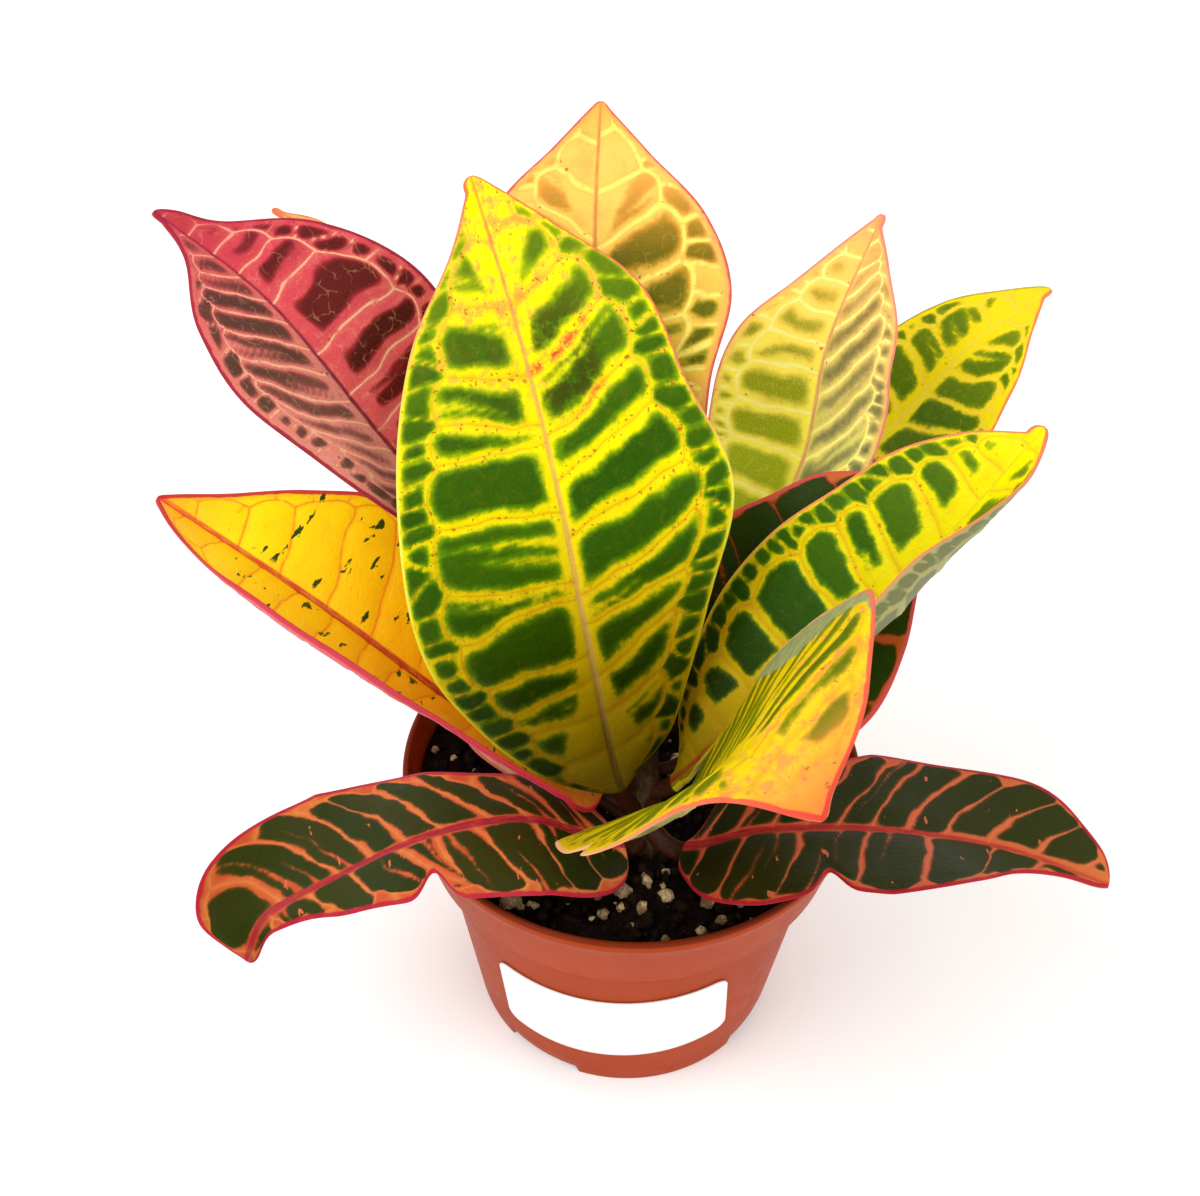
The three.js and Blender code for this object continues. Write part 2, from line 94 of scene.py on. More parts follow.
# Label
LABEL_WIDTH = 54
LABEL_HEIGHT = 26
LABEL_CORNER_R = 3
LABEL_THICKNESS = 0.35
LABEL_OFF_WALL = 0.15
LABEL_Z = 27
LABEL_AT = -93
LABEL_TILT = 3.5
LABEL_COLUMNS = 96
LABEL_ROWS = 24

# Soil
SOIL_EDGE_Z = 66
SOIL_CROWN = 0.8
SOIL_GAP = 0.3  # between the soil and the pot
SOIL_SETTLED = 0.4  # how far the bumpy surface lies below the even one
LUMP_H = 1.0
LUMP_SIZE = 4.5
CLOD_H = 0.7
CLOD_SIZE = 1.9
PELLET_H = 0.45
PELLET_SIZE = 0.9
SOIL_SEED = 11
CRUMBS = 900
CRUMB_SIZES = (0.5, 1.7)
PERLITE = 260
PERLITE_SIZES = (0.35, 2.0)
SOIL_RINGS = 96
SOIL_COLUMNS = 240

# Light and floor, with places in metres
WORLD_LIGHT = 0.92
FLOOR_GLOW = 0.14
KEY_AT = (-0.5, -0.35, 0.9)
KEY_POWER = 3.6
FILL_AT = (0.7, -0.6, 0.6)
FILL_POWER = 1.4
LAMPS_AIM = (0, 0, 0.09)
FLOOR_REACH = 4

# Stem, from its foot in the soil to its top
STEM = [(4, -20, 58), (4, -19, 68), (3, -13, 80), (2, -6, 92), (1, -1, 103)]
STEM_FOOT_R = 4
STEM_TOP_R = 2.6
STEM_RINGS = 120
STEM_SIDES = 48
STEM_SEED = 31
SCAR_H = 0.12
SCAR_SPACING = 3.2
BARK_H = 0.12
BARK_BASE = 0.15  # how far the bark's mean surface lies inside the stem's even form

# Leaf blades
BLADE = 0.8
MARGIN_BLADE = 0.7
EDGE_BLADE = 0.12  # thickness left at the very edge, which is rounded off
MIDRIB = 0.9
STALK_R = 1.4
STALK_FADE = 0.1
TIP_HALF_WIDTH = 0.5
TIP_R = 0.9
HEM_FROM = 0.7
PLAIN_FOLD = 8
FACING_OUT = 0.6
FACING_UP = 0.8
GRID_STEP = 0.72  # size of a leaf's mesh faces
STALK_GRID_STEP = 1.5
LEAST_ROWS = 60
LEAST_STALK_ROWS = 4
LEAST_COLUMNS = 14
ROW_EASE = 0.5  # how much closer together the rows stand near base and tip
COLUMN_EASE = 0.45
COLUMN_EXCESS = 1.15  # how much closer together the columns stand than the rows
MIDRIB_GROOVE = 0.35
MIDRIB_GROOVE_WIDTH = 0.75
LATERAL_GROOVE = 0.16
LATERAL_GROOVE_WIDTH = 0.55
RIDGE_WIDTH = 0.8  # half-width of the midrib's ridge on the underside
QUILTING = 0.22
UNDULATION = 0.3
UNDULATION_SIZE = 11.0
UNDER_SHIFT = 7  # sets the underside's colour noise apart from the upper side's
LEAF_SEED = 101
LEAF_SEED_STEP = 17

OVAL = [0, 0.42, 0.7, 0.92, 1, 1, 0.78, 0.5, 0.28, 0.07, 0]
BROAD = [0, 0.33, 0.63, 0.85, 0.96, 1, 0.93, 0.7, 0.41, 0.15, 0]


def half_blade(half, fold=PLAIN_FOLD, **more):
    """Half-widths at even steps of an arc from base to tip, and how far the half is folded up, in degrees.

    A half may also have a hem (degrees by which its outer part turns up), a curl (degrees by which it
    bends all over) and a notch (place along the blade, depth and span).
    """
    return {"half": half, "fold": fold, **more}


def widened(outline, half_width):
    return [share * half_width for share in outline]


def even_blade(outline, half_width):
    half = half_blade(widened(outline, half_width))
    return {"left": half, "right": half}


# Each leaf's shape: the height at which its stalk leaves the stem, the compass direction that its
# back is turned to, and the points of its midrib, of which the first is where the blade begins.
# `roll` turns the blade round its midrib, `tip` is the radius of its round end, and `grid` the size
# of its mesh faces where that isn't GRID_STEP.
SHAPES = {
    "tall_front_leaf": {
        "from": 75, "toward": 100, "tip": 1.9,
        "rib": [(-2, -18, 82), (-10, -12, 121), (-16, -2, 147), (-24, 9, 175), (-33, 22, 198)],
        "left": half_blade([0, 7, 16, 25, 32, 32, 28, 20, 8, 2, 0]),
        "right": half_blade([0, 5, 13, 19, 26, 33, 28, 24, 12, 4, 0]),
    },
    "top_back_leaf": {
        "from": 98, "toward": 90, "tip": 1.7,
        "rib": [(-4, 1, 110), (-9, 12, 152), (-11, 30, 182), (-11, 48, 202)],
        "left": half_blade([0, 3, 6, 10, 14, 20, 23, 19, 9, 3, 0]),
        "right": half_blade([0, 7, 14, 18, 20, 22, 26, 21, 10, 3, 0]),
    },
    "crimson_leaf": {
        "from": 86, "toward": 165, "grid": 0.75,
        "rib": [(-20, -2, 116), (-49, 6, 150), (-70, 14, 175), (-91, 20, 190)],
        "left": half_blade([0, 3, 6, 8, 14, 20, 26, 21, 6, 1, 0]),
        "right": half_blade([0, 8, 16, 22, 25, 28, 28, 19, 7, 3, 0], fold=25),
    },
    "orange_yellow_leaf": {
        "from": 74.5, "toward": 185, "tip": 1.5,
        "rib": [(-6, -14, 76), (-34, -12, 96), (-64, -5, 118), (-96, 4, 137)],
        "left": half_blade([0, 8, 13, 14, 14, 17, 20, 18, 11, 4, 0], fold=12, hem=[70, 70, 70, 60, 0]),
        "right": half_blade([0, 8, 16, 22, 26, 28, 28, 19, 9, 3, 0], fold=38),
    },
    "upper_right_leaf": {
        "from": 101, "toward": 60, "tip": 1.3,
        "rib": [(19, 18, 99), (34, 36, 127), (38, 47, 152), (47, 57, 177)],
        "left": half_blade([0, 8, 16, 21, 22, 23, 21, 12, 6, 2, 0]),
        "right": half_blade([0, 3, 8, 14, 20, 22, 23, 21, 10, 1, 0], fold=35),
    },
    "outer_right_leaf": {
        "from": 88, "toward": 40,
        "rib": [(25, 36, 102), (57, 58, 125), (73, 65, 143), (89, 71, 154)],
        "left": half_blade([0, 6, 12, 17, 20, 21, 18, 13, 7, 3, 0]),
        "right": half_blade([0, 6, 12, 18, 22, 23, 22, 16, 7, 1, 0]),
    },
    "rolled_right_leaf": {
        "from": 78, "toward": 15, "tip": 2.2,
        "rib": [(9, -16, 82), (21, -15, 100), (41, -10, 121), (58, -5, 143), (72, 0, 164)],
        "left": half_blade([2, 3, 9, 17, 24, 26, 23, 19, 11, 2, 0], fold=30),
        "right": half_blade([0, 2, 5, 9, 18, 24, 24, 20, 14, 5, 0],
                            fold=10, curl=[30, 60, 75, 75, 75, 75, 75, 50, 5]),
    },
    "near_leaf": {
        "from": 75.5, "toward": -75, "roll": 25,
        "rib": [(9, -27, 86), (14, -55, 126), (16, -82, 162), (24, -100, 171)],
        "left": half_blade([0, 8, 14, 18, 22, 26, 29, 30, 17, 4, 0], fold=[30, 30, 30, 20, 12]),
        "right": half_blade([0, 12, 20, 26, 28, 27, 23, 13, 6, 2, 0],
                            fold=[18, 16, 5, -4, -5], notch=(0.5, 3, 0.03)),
    },
    "low_left_leaf": {
        "from": 69.8, "toward": 195, "grid": 0.5,
        "rib": [(-1, -24, 70), (-20, -26, 80), (-40, -31, 80), (-61, -36, 70), (-74, -42, 65),
                (-76, -52, 64)],
        "left": half_blade([2, 11, 17, 20, 19, 16, 12, 6, 4, 4, 0],
                           fold=[0, 0, 0, 0, -50], notch=(0.468, 7, 0.03)),
        "right": half_blade([1, 6, 11, 13, 14, 19, 23, 22, 15, 10, 0], fold=0),
    },
    "low_right_leaf": {
        "from": 72, "toward": -10, "grid": 0.5,
        "rib": [(12, -25, 72), (27, -27, 81), (51, -27, 83), (77, -28, 80), (96, -36, 80)],
        "left": half_blade([1, 4, 12, 15, 18, 22, 21, 18, 11, 6, 0], fold=5),
        "right": half_blade([3, 8, 16, 21, 20, 21, 17, 8, 3, 2, 0],
                            fold=[0, 10, 35], notch=(0.342, 6, 0.03)),
    },
    "shaded_right_leaf": {
        "from": 81, "toward": 25, "roll": 15, "grid": 0.7,
        "rib": [(13, -8, 83), (25, -2, 104), (43, 6, 122), (61, 14, 139)],
        "left": half_blade([0, 3, 7, 15, 23, 27, 24, 20, 12, 5, 0], fold=20),
        "right": half_blade([0, 9, 18, 24, 26, 26, 20, 11, 6, 3, 0], fold=5),
    },
    "orange_tip_leaf": {
        "from": 90, "toward": 150,
        "rib": [(-17, 12, 108), (-46, 34, 143), (-67, 50, 168), (-80, 58, 173)],
        **even_blade(OVAL, 14),
    },
    "small_orange_leaf": {
        "from": 94, "toward": 165,
        "rib": [(-9, -6, 107), (-21, -5, 124), (-35, -2, 142), (-47, 1, 155)],
        "left": half_blade(widened(OVAL, 6)),
        "right": half_blade(widened(OVAL, 7), fold=25),
    },
    "low_pale_leaf": {
        "from": 69.4, "toward": 165,
        "rib": [(-9, -9, 70.5), (-23, 0, 73), (-36, 9, 75), (-46, 16, 77)],
        **even_blade(OVAL, 12),
    },
    "back_leaf": {
        "from": 82, "toward": 90,
        "rib": [(3, 4, 82), (2, 30, 92), (2, 58, 96), (4, 84, 90)],
        **even_blade(BROAD, 24),
    },
    "back_left_leaf": {
        "from": 76, "toward": 130,
        "rib": [(-8, 2, 75), (-22, 24, 80), (-36, 46, 82), (-48, 66, 76)],
        **even_blade(BROAD, 22),
    },
}


def stations_along(values, x):
    """The values at x, from 0 to 1, of a smooth line through evenly spaced values. One value is constant."""
    if not isinstance(values, (list, tuple)):
        return np.full_like(x, float(values))
    v = np.array(values, float)
    steps = len(v) - 1
    place = np.clip(x, 0, 1) * steps
    i = np.minimum(place.astype(int), steps - 1)
    wide = np.concatenate([[2 * v[0] - v[1]], v, [2 * v[-1] - v[-2]]])
    low = wide[i + 1]
    high = wide[i + 2]
    slope_in = (high - wide[i]) / 2
    slope_out = (wide[i + 3] - low) / 2
    return hermite(low, high, slope_in, slope_out, place - i)


def hermite(start, end, slope_in, slope_out, t):
    """The cubic from start to end, as t grows from 0 to 1, with the given slopes there."""
    rise = end - start
    square = 3 * rise - 2 * slope_in - slope_out
    cube = slope_in + slope_out - 2 * rise
    return start + slope_in * t + square * t**2 + cube * t**3


class Spline:
    """A Catmull-Rom curve through points, sampled by its length."""

    PER_SPAN = 80

    def __init__(self, points):
        p = np.array(points, float)
        self.points = np.vstack([2 * p[0] - p[1], p, 2 * p[-1] - p[-2]])
        self.spans = len(p) - 1
        t = np.linspace(0, self.spans, self.PER_SPAN * self.spans + 1)
        steps = np.linalg.norm(np.diff(self.at(t)[0], axis=0), axis=1)
        self.t = t
        self.lengths = np.concatenate([[0], np.cumsum(steps)])

    def at(self, t):
        """Points and unit tangents at the parameter t, which grows by 1 from point to point."""
        i = np.minimum(np.asarray(t).astype(int), self.spans - 1)
        f = (t - i)[:, None]
        a, b, c, d = (self.points[i + k] for k in range(4))
        m0 = (c - a) / 2
        m1 = (d - b) / 2
        square = 3 * (c - b) - 2 * m0 - m1
        cube = 2 * (b - c) + m0 + m1
        place = b + m0 * f + square * f**2 + cube * f**3
        slope = m0 + 2 * square * f + 3 * cube * f**2
        return place, slope / np.linalg.norm(slope, axis=1, keepdims=True)

    def at_length(self, length):
        return self.at(np.interp(length, self.lengths, self.t))


stem_curve = Spline(STEM)


def stem_at(height):
    """The point of the stem's middle at a height."""
    middle = stem_curve.at(stem_curve.t)[0]
    return [float(np.interp(height, middle[:, 2], middle[:, k])) for k in range(3)]


def smoothstep(low, high, x):
    t = np.clip((x - low) / (high - low), 0, 1)
    return t * t * (3 - 2 * t)


def bell(x, width):
    return np.exp(-((x / width) ** 2))


def soft_min(parts, rounding):
    """The least of several fields, with its inside corners rounded."""
    stack = np.stack(np.broadcast_arrays(*parts))
    return -rounding * np.log(np.exp(-stack / rounding).sum(axis=0))


class Ripple:
    """Repeatable smooth noise from -1 to 1 over a plane."""

    SIZE = 64

    def __init__(self, seed):
        self.table = np.random.default_rng(seed).uniform(-1, 1, (self.SIZE, self.SIZE))

    def __call__(self, x, y, size):
        u = x / size + 17.3
        v = y / size + 9.1
        i = np.floor(u).astype(int)
        j = np.floor(v).astype(int)
        fu = smoothstep(0, 1, u - i)
        fv = smoothstep(0, 1, v - j)
        pick = lambda di, dj: self.table[(i + di) % self.SIZE, (j + dj) % self.SIZE]
        low = pick(0, 0) * (1 - fu) + pick(1, 0) * fu
        high = pick(0, 1) * (1 - fu) + pick(1, 1) * fu
        return low * (1 - fv) + high * fv

    def layered(self, x, y, layers):
        """The sum of the noise at several heights and sizes."""
        return sum(height * self(x, y, size) for height, size in layers)


def half_section(half, across, s, width, settled):
    """A half blade's cross-sections: distance out and up from the midrib, and slope, on a grid."""
    def slope(a):
        hem = stations_along(half.get("hem", 0), s) * np.maximum(0, (a - HEM_FROM) / (1 - HEM_FROM))
        curl = stations_along(half.get("curl", 0), s) * a
        return np.radians((stations_along(half["fold"], s) + curl + hem) * settled)

    step = np.diff(across)[None, :] * width[:, None]
    mean = slope_grid(slope, (across[1:] + across[:-1]) / 2)
    zero = np.zeros((len(s), 1))
    out = np.hstack([zero, np.cumsum(step * np.cos(mean), axis=1)])
    up = np.hstack([zero, np.cumsum(step * np.sin(mean), axis=1)])
    return out, up, slope_grid(slope, across)


def slope_grid(slope, across):
    return np.stack([slope(a) for a in across], axis=1)


def half_width(half, s, length, tip):
    """The half blade's width at the shares s of the blade's length, which ends in a round tip."""
    width = stations_along(half["half"], np.arccos(np.clip(1 - 2 * s, -1, 1)) / math.pi)
    to_tip = np.clip((1 - s) * length, 0, tip)
    width = np.maximum(width, np.sqrt(tip**2 - (tip - to_tip) ** 2))
    if "notch" in half:
        at, depth, span = half["notch"]
        width = width - depth * bell(s - at, span)
    return np.maximum(width, np.where(s > 0.5, TIP_HALF_WIDTH, STALK_R))


def eased(steps, ease):
    """Places from 0 to 1, which stand closer together towards both ends."""
    t = np.linspace(0, 1, steps + 1)
    return (1 - ease) * t + ease * (1 - np.cos(math.pi * t)) / 2


class Blade:
    """The grid of a leaf's middle surface. Rows run from the stem to the tip."""

    def __init__(self, shape):
        curve = Spline([stem_at(shape["from"])] + shape["rib"])
        start = curve.lengths[Spline.PER_SPAN]
        self.length = curve.lengths[-1] - start
        grid_step = shape.get("grid", GRID_STEP)
        s = eased(max(LEAST_ROWS, int(self.length / grid_step)), ROW_EASE)
        stalk_rows = max(LEAST_STALK_ROWS, int(start / STALK_GRID_STEP))
        inside = start * np.linspace(0, 1, stalk_rows, endpoint=False)
        self.s = np.concatenate([np.zeros(stalk_rows), s])
        self.x = np.concatenate([inside - start, s * self.length])
        self.stalk = np.clip(1 - self.s / STALK_FADE, 0, 1)
        self.middle, ahead = curve.at_length(self.x + start)
        self.turn(ahead, math.radians(shape["toward"]), math.radians(shape.get("roll", 0)))
        widest = max(max(shape["left"]["half"]), max(shape["right"]["half"]))
        self.across = eased(max(LEAST_COLUMNS, int(widest / grid_step * COLUMN_EXCESS)), COLUMN_EASE)
        self.tip = shape.get("tip", TIP_R)
        self.halves = [self.half(shape[side], sign) for side, sign in (("left", -1), ("right", 1))]

    def turn(self, ahead, toward, roll):
        """Sets which way is up and which sideways from the midrib. The blade's face looks up and out."""
        facing = np.array([-FACING_OUT * math.cos(toward), -FACING_OUT * math.sin(toward), FACING_UP])
        flat = facing - ahead * (ahead @ facing)[:, None]
        flat /= np.linalg.norm(flat, axis=1, keepdims=True)
        self.up = flat * math.cos(roll) + np.cross(ahead, flat) * math.sin(roll)
        self.side = np.cross(ahead, self.up)

    def half(self, half, sign):
        width = half_width(half, self.s, self.length, self.tip)
        out, up, slope = half_section(half, self.across, self.s, width, 1 - self.stalk)
        y = self.across * width[:, None]
        return {"sign": sign, "width": width, "out": out, "up": up, "slope": slope, "y": y}

    def surface(self, half, off):
        """Points `off` millimetres above the middle surface."""
        out = half["sign"] * (half["out"] - off * np.sin(half["slope"]))
        rise = half["up"] + off * np.cos(half["slope"])
        return self.middle[:, None] + self.side[:, None] * out[..., None] + self.up[:, None] * rise[..., None]


# Veins
# Each side vein of a half blade is a pair: how far along the blade it leaves the midrib, and how
# far along it meets the loop vein that runs inside the margin. `mid` is the half-width of the plain
# band beside the midrib, at even steps from base to tip, `band` that of the side veins' bands.
# `inset` is the distance from the margin to the loop vein. `partial` and `broken` are shares of the
# veins that end inside a cell, and `uneven` and `fringe` how much a band and the loop vein waver.
# `margin_cell` is the size of the small cells past the loop vein, `margin_gone` the share of them
# that is missing, and `margin_shrink` and `margin_gap` are what lies between them. `rim` is the plain
# edge of the blade. A `plain` blade has no cells. A half without a table of its own has side veins
# at an even `spacing`, each with its head farther along by `lean`.
NARROW_MID = [1.4, 1.2, 1, 0.9, 0.8, 0.8, 0.8, 0.8, 0.8, 0.8, 0.8]
PLAIN_VEINS = {
    "margin_cell": 4, "margin_gone": 0.1, "margin_shrink": 0.7, "margin_gap": 0.35,
    "fringe": 0, "partial": 0.5, "broken": 0, "uneven": 0.25, "plain": False,
}
SPARSE_VEINS = {"margin_cell": 6, "rim": 2, "partial": 0, "plain": True}
BACK_VEINS = {"spacing": 9, "lean": 6, "mid_band": 2, "band": 0.9, "inset": 4.6, "rim": 0.9}
VEINS = {
    "tall_front_leaf": {
        "left": {
            "laterals": [(20.5, 22.5), (29.5, 27), (35, 34.5), (47.5, 45), (50.5, 54.5), (64.5, 68),
                         (78.5, 80), (81.5, 88), (91, 96), (103.5, 107)],
            "bands": [1.8, 0.9, 1, 1.1, 1.1, 1.5, 1.1, 1.3, 1.8, 2.6],
            "mid": [14, 11, 5, 2.8, 2.5, 2.4, 2.4, 2.6, 3.2, 6, 14],
        },
        "right": {
            "laterals": [(20, 28), (29.5, 41), (41.5, 48.5), (47.5, 61), (59.5, 70), (70.5, 81), (79, 91),
                         (91.5, 102), (104, 111)],
            "bands": [1.5, 1.5, 1.2, 1.5, 1.7, 2.1, 1.7, 1.8, 2.5],
            "mid": [12, 7.5, 2.8, 1.8, 1.7, 1.6, 1.6, 1.8, 2.4, 5.5, 12],
        },
        "band": 0.95, "inset": 7, "rim": 0.35, "partial": 0.3, "margin_gone": 0,
        "margin_shrink": 0.55, "margin_gap": 0.1,
    },
    "top_back_leaf": {
        "left": {
            "laterals": [(10, 14), (20, 26), (31, 36), (41, 47), (51, 58), (61, 67), (70, 77), (79, 86),
                         (88, 94)],
            "mid": [8, 3, 2.5, 2.5, 2.5, 2.5, 2.5, 3, 5, 8, 8],
        },
        "right": {
            "laterals": [(10, 14), (20, 25), (30, 36), (40, 46), (50, 57), (60, 66), (68, 76), (77, 86),
                         (88, 94)],
            "mid": [8, 3, 2, 2, 2, 2, 2, 2, 4, 8, 8],
        },
        "band": 1.2, "inset": 8, "rim": 1.4, "partial": 0.6,
    },
    "crimson_leaf": {
        "left": {
            "laterals": [(8, 20), (16, 28), (24, 37), (32, 46), (38, 53), (44, 60), (50, 66), (56, 71),
                         (62, 76), (68, 81), (74, 85.5), (80, 90), (86, 94)],
            "mid": [6, 3, 3, 3, 3, 3.2, 3.2, 2.6, 1.4, 1.4, 2],
        },
        "right": {
            "laterals": [(10, 11), (20, 21), (30, 31), (40, 41), (49, 50), (57.5, 60), (67, 68.5), (79, 80),
                         (87, 87), (92.5, 93)],
            "bands": [1.9, 1.9, 1.9, 1.9, 1.9, 2, 2.3, 2, 1.9, 1.9],
            "mid": [6, 3.5, 3.5, 3.5, 3.5, 3.5, 3.5, 3, 2.6, 2.4, 2.4],
        },
        "band": 0.72, "inset": 6.5, "rim": 1.5, "partial": 0.2,
    },
    "orange_yellow_leaf": {
        "left": {
            "laterals": [(10, 11), (22, 24), (32, 36), (42, 48), (52, 54), (60, 61), (69, 70), (77, 79),
                         (86, 87), (95, 96)],
            "mid": 9,
        },
        "right": {
            "laterals": [(12, 20), (24, 34), (36, 47), (48, 59), (60, 70), (71, 78), (82, 88), (92, 96)],
            "mid": 9,
        },
        "band": 1, "inset": 4, "margin_cell": 6, "rim": 2.5, "partial": 0, "plain": True,
    },
    "upper_right_leaf": {
        "left": {
            "laterals": [(8, 8), (18, 18), (28, 28), (39, 39.5), (49.5, 50.5), (58, 58), (64, 63.5),
                         (70.5, 71), (77, 77), (83, 82)],
            "mid": [6, 3, 2, 1.6, 1.6, 1.8, 1.8, 1.8, 1.8, 3, 6],
        },
        "right": {
            "laterals": [(12, 20), (22, 31), (31, 42), (39, 53), (45, 61), (53, 69), (60, 75), (67, 79),
                         (74, 83), (80, 86.5)],
            "mid": [5, 2, 1.2, 1.1, 1.1, 1.1, 1.1, 1.1, 1.1, 1.5, 4],
        },
        "band": 1.15, "inset": 5.5, "margin_cell": 3.8, "rim": 0.8, "partial": 0.3,
    },
    "outer_right_leaf": {
        "left": {
            "laterals": [(8, 11), (18, 22), (28, 32), (38, 42), (48, 52), (56, 60.5), (64.5, 68),
                         (75.5, 77), (82, 83)],
            "mid": [6, 3, 3, 3, 3, 3, 2.8, 2.6, 2.6, 6, 8],
        },
        "right": {
            "laterals": [(8, 13), (18, 25), (28, 36), (37, 46), (46, 55), (55, 62), (62, 69), (70, 76),
                         (79, 81)],
            "mid": [6, 2, 2, 2, 2, 2, 1.8, 1.8, 2.2, 5, 8],
        },
        "band": 0.85, "inset": 5, "rim": 1, "partial": 0.15,
    },
    "rolled_right_leaf": {
        "left": {
            "laterals": [(18.5, 19.5), (28, 27.5), (39.5, 39), (52.5, 53.5), (60.5, 64), (66.5, 72),
                         (77.5, 82), (87.5, 89.5), (94, 95.5)],
            "mid": [4, 4.5, 5, 5.5, 5.5, 5.2, 5, 4.6, 4, 4, 6],
        },
        "right": {
            "laterals": [(10, 18), (20, 28), (30, 38), (40, 48), (50, 58), (60, 68), (70, 78), (80, 87),
                         (90, 95)],
            "mid": [6, 3, 2, 2, 2, 2, 2, 2, 2, 3, 6],
        },
        "band": 1.35, "inset": 6.4, "margin_cell": 3.4, "rim": 0.5, "partial": 0.1, "margin_gone": 0,
        "margin_shrink": 0.35, "margin_gap": 0.1,
    },
    "near_leaf": {
        "left": {
            "laterals": [(8, 10), (18, 21), (28, 31), (38, 41), (47, 50), (56, 59), (64, 67), (71, 74),
                         (78, 81), (84, 87), (90, 92.5), (96, 98), (102, 103)],
            "mid": [5, 3, 3, 3, 3, 3, 3, 3, 3, 5, 10],
        },
        "right": {
            "laterals": [(6, 10), (14, 19), (22, 28), (30, 37), (38, 46), (46, 54), (54, 62), (62, 70),
                         (70, 78), (78, 86), (86, 93)],
            "mid": [5, 3, 3, 3, 3, 3, 3, 3, 3, 6, 10],
        },
        "band": 1.1, "inset": 3.4, "margin_cell": 4.5, "rim": 1.4, "partial": 0.2, "uneven": 0.7,
    },
    "low_left_leaf": {
        "left": {
            "laterals": [(12, 6), (22, 12), (34, 23), (42, 36), (50, 42), (62, 54), (72, 66), (81, 78)],
            "mid": NARROW_MID,
        },
        "right": {
            "laterals": [(6, 16), (14, 26), (22, 36), (30, 46), (40, 57), (48, 64), (56, 71), (64, 78),
                         (77, 84)],
            "mid": NARROW_MID,
        },
        "band": 0.62, "inset": 1.9, "fringe": 0.9, "margin_cell": 7, "rim": 1, "partial": 0.3, "broken": 0.3,
        "uneven": 0.8,
    },
    "low_right_leaf": {
        "left": {
            "laterals": [(4, 12), (12, 21), (20, 30), (27, 38), (33, 46), (40, 53), (47, 61), (55, 68),
                         (64, 75), (73, 80)],
            "mid": [1.4, 1.2, 1.1, 1, 1, 1, 1.1, 1.3, 1.6, 2, 2.4],
        },
        "right": {
            "laterals": [(6, 3), (15, 10), (26, 20), (40, 35), (52, 47), (66, 60), (76, 72)],
            "mid": NARROW_MID,
        },
        "band": 0.4, "inset": 1.4, "fringe": 0.9, "margin_cell": 9, "rim": 1, "partial": 0.15, "broken": 0.8,
        "uneven": 0.6,
    },
    "shaded_right_leaf": {
        "spacing": 12, "lean": 8, "mid_band": 0.8, "band": 0.45, "inset": 1.3, "fringe": 0.9,
        "margin_cell": 6, "rim": 1.2, "broken": 0.5, "uneven": 0.9,
    },
    "orange_tip_leaf": {"spacing": 8, "lean": 5, "mid_band": 2, "band": 1, "inset": 3, **SPARSE_VEINS},
    "small_orange_leaf": {"spacing": 6, "lean": 4, "mid_band": 2, "band": 1, "inset": 2, **SPARSE_VEINS},
    "low_pale_leaf": {"spacing": 7, "lean": 4, "mid_band": 1.4, "band": 0.9, "inset": 2.6, "rim": 1},
    "back_leaf": BACK_VEINS,
    "back_left_leaf": BACK_VEINS,
}
CELL_ROUNDING = 0.5
LEAST_REACH = 0.4  # side veins reach at least this share of the half blade's greatest width
CELL_BULGE = 1.9  # how far the loop vein bends outward between two side veins
ABSENT = -9.0  # value of a field where a cell is missing
LEAST_MARGIN_INSET = 3  # a loop vein closer to the margin leaves no room for marginal cells
MARGIN_CONTRAST = 1.7  # small cells by the margin reach their full colour sooner than large ones
EXTRA_VEINS = np.array([1, 2, 3, 4])  # side veins are carried on past the blade's two ends
EVEN_MID = (3, 1, 1, 1, 1, 1, 3)  # shares of `mid_band`, from base to tip
WANDER_ALONG = ((1.0, 7.0), (0.35, 2.8))  # height and size of the ripples that bend the veins
WANDER_ACROSS = ((0.55, 5.5), (0.2, 2.4))
FRINGE_SIZE = 3.4
UNEVEN_SIZE = 4.2
MOST_INSET = 0.32  # the loop vein stands in from the margin by at most this share of a half blade
VEIN_BEND = 0.25  # how much a side vein turns towards the tip on its way out
LEAST_VEIN_STEP = 0.02  # keeps the side veins in order where they would cross
BROKEN_FADING = 1.9  # how fast a broken vein's band narrows on its way out
CELL_SHRINK = 0.35  # a cell is smaller than its place between the bands by up to this
PARTIAL_AT = (0.36, 0.64)  # shares of the way from one side vein to the next
PARTIAL_ROOM = 4.5  # side veins closer together have no partial veins between them
FAR = 9.0  # past the reach of every mark round a vein


def even_laterals(length, spacing, lean):
    """Side veins at even steps, for a leaf of which little shows."""
    count = int(length / spacing)
    return [(spacing * (k + 0.6), min(spacing * (k + 0.6) + lean, length - 1)) for k in range(count)]


def side_veins(veins, side, length, random):
    """Where the side veins of a half blade start and end, their half-widths and the midrib band's."""
    if side in veins:
        laterals, mid = veins[side]["laterals"], veins[side]["mid"]
    else:
        laterals = even_laterals(length, veins["spacing"], veins["lean"])
        mid = [share * veins["mid_band"] for share in EVEN_MID]
    feet = np.array([foot for foot, _ in laterals], float)
    heads = np.array([head for _, head in laterals], float)
    even = veins["band"] * (0.8 + 0.4 * random.random(len(feet)))
    bands = np.array(veins.get(side, {}).get("bands", even), float)
    first, last = feet[1] - feet[0], feet[-1] - feet[-2]
    before, after = -first * EXTRA_VEINS[::-1], last * EXTRA_VEINS
    feet = np.concatenate([feet[0] + before, feet, feet[-1] + after])
    heads = np.concatenate([heads[0] + before, heads, heads[-1] + after])
    return feet, heads, np.pad(bands, len(EXTRA_VEINS), "edge"), mid


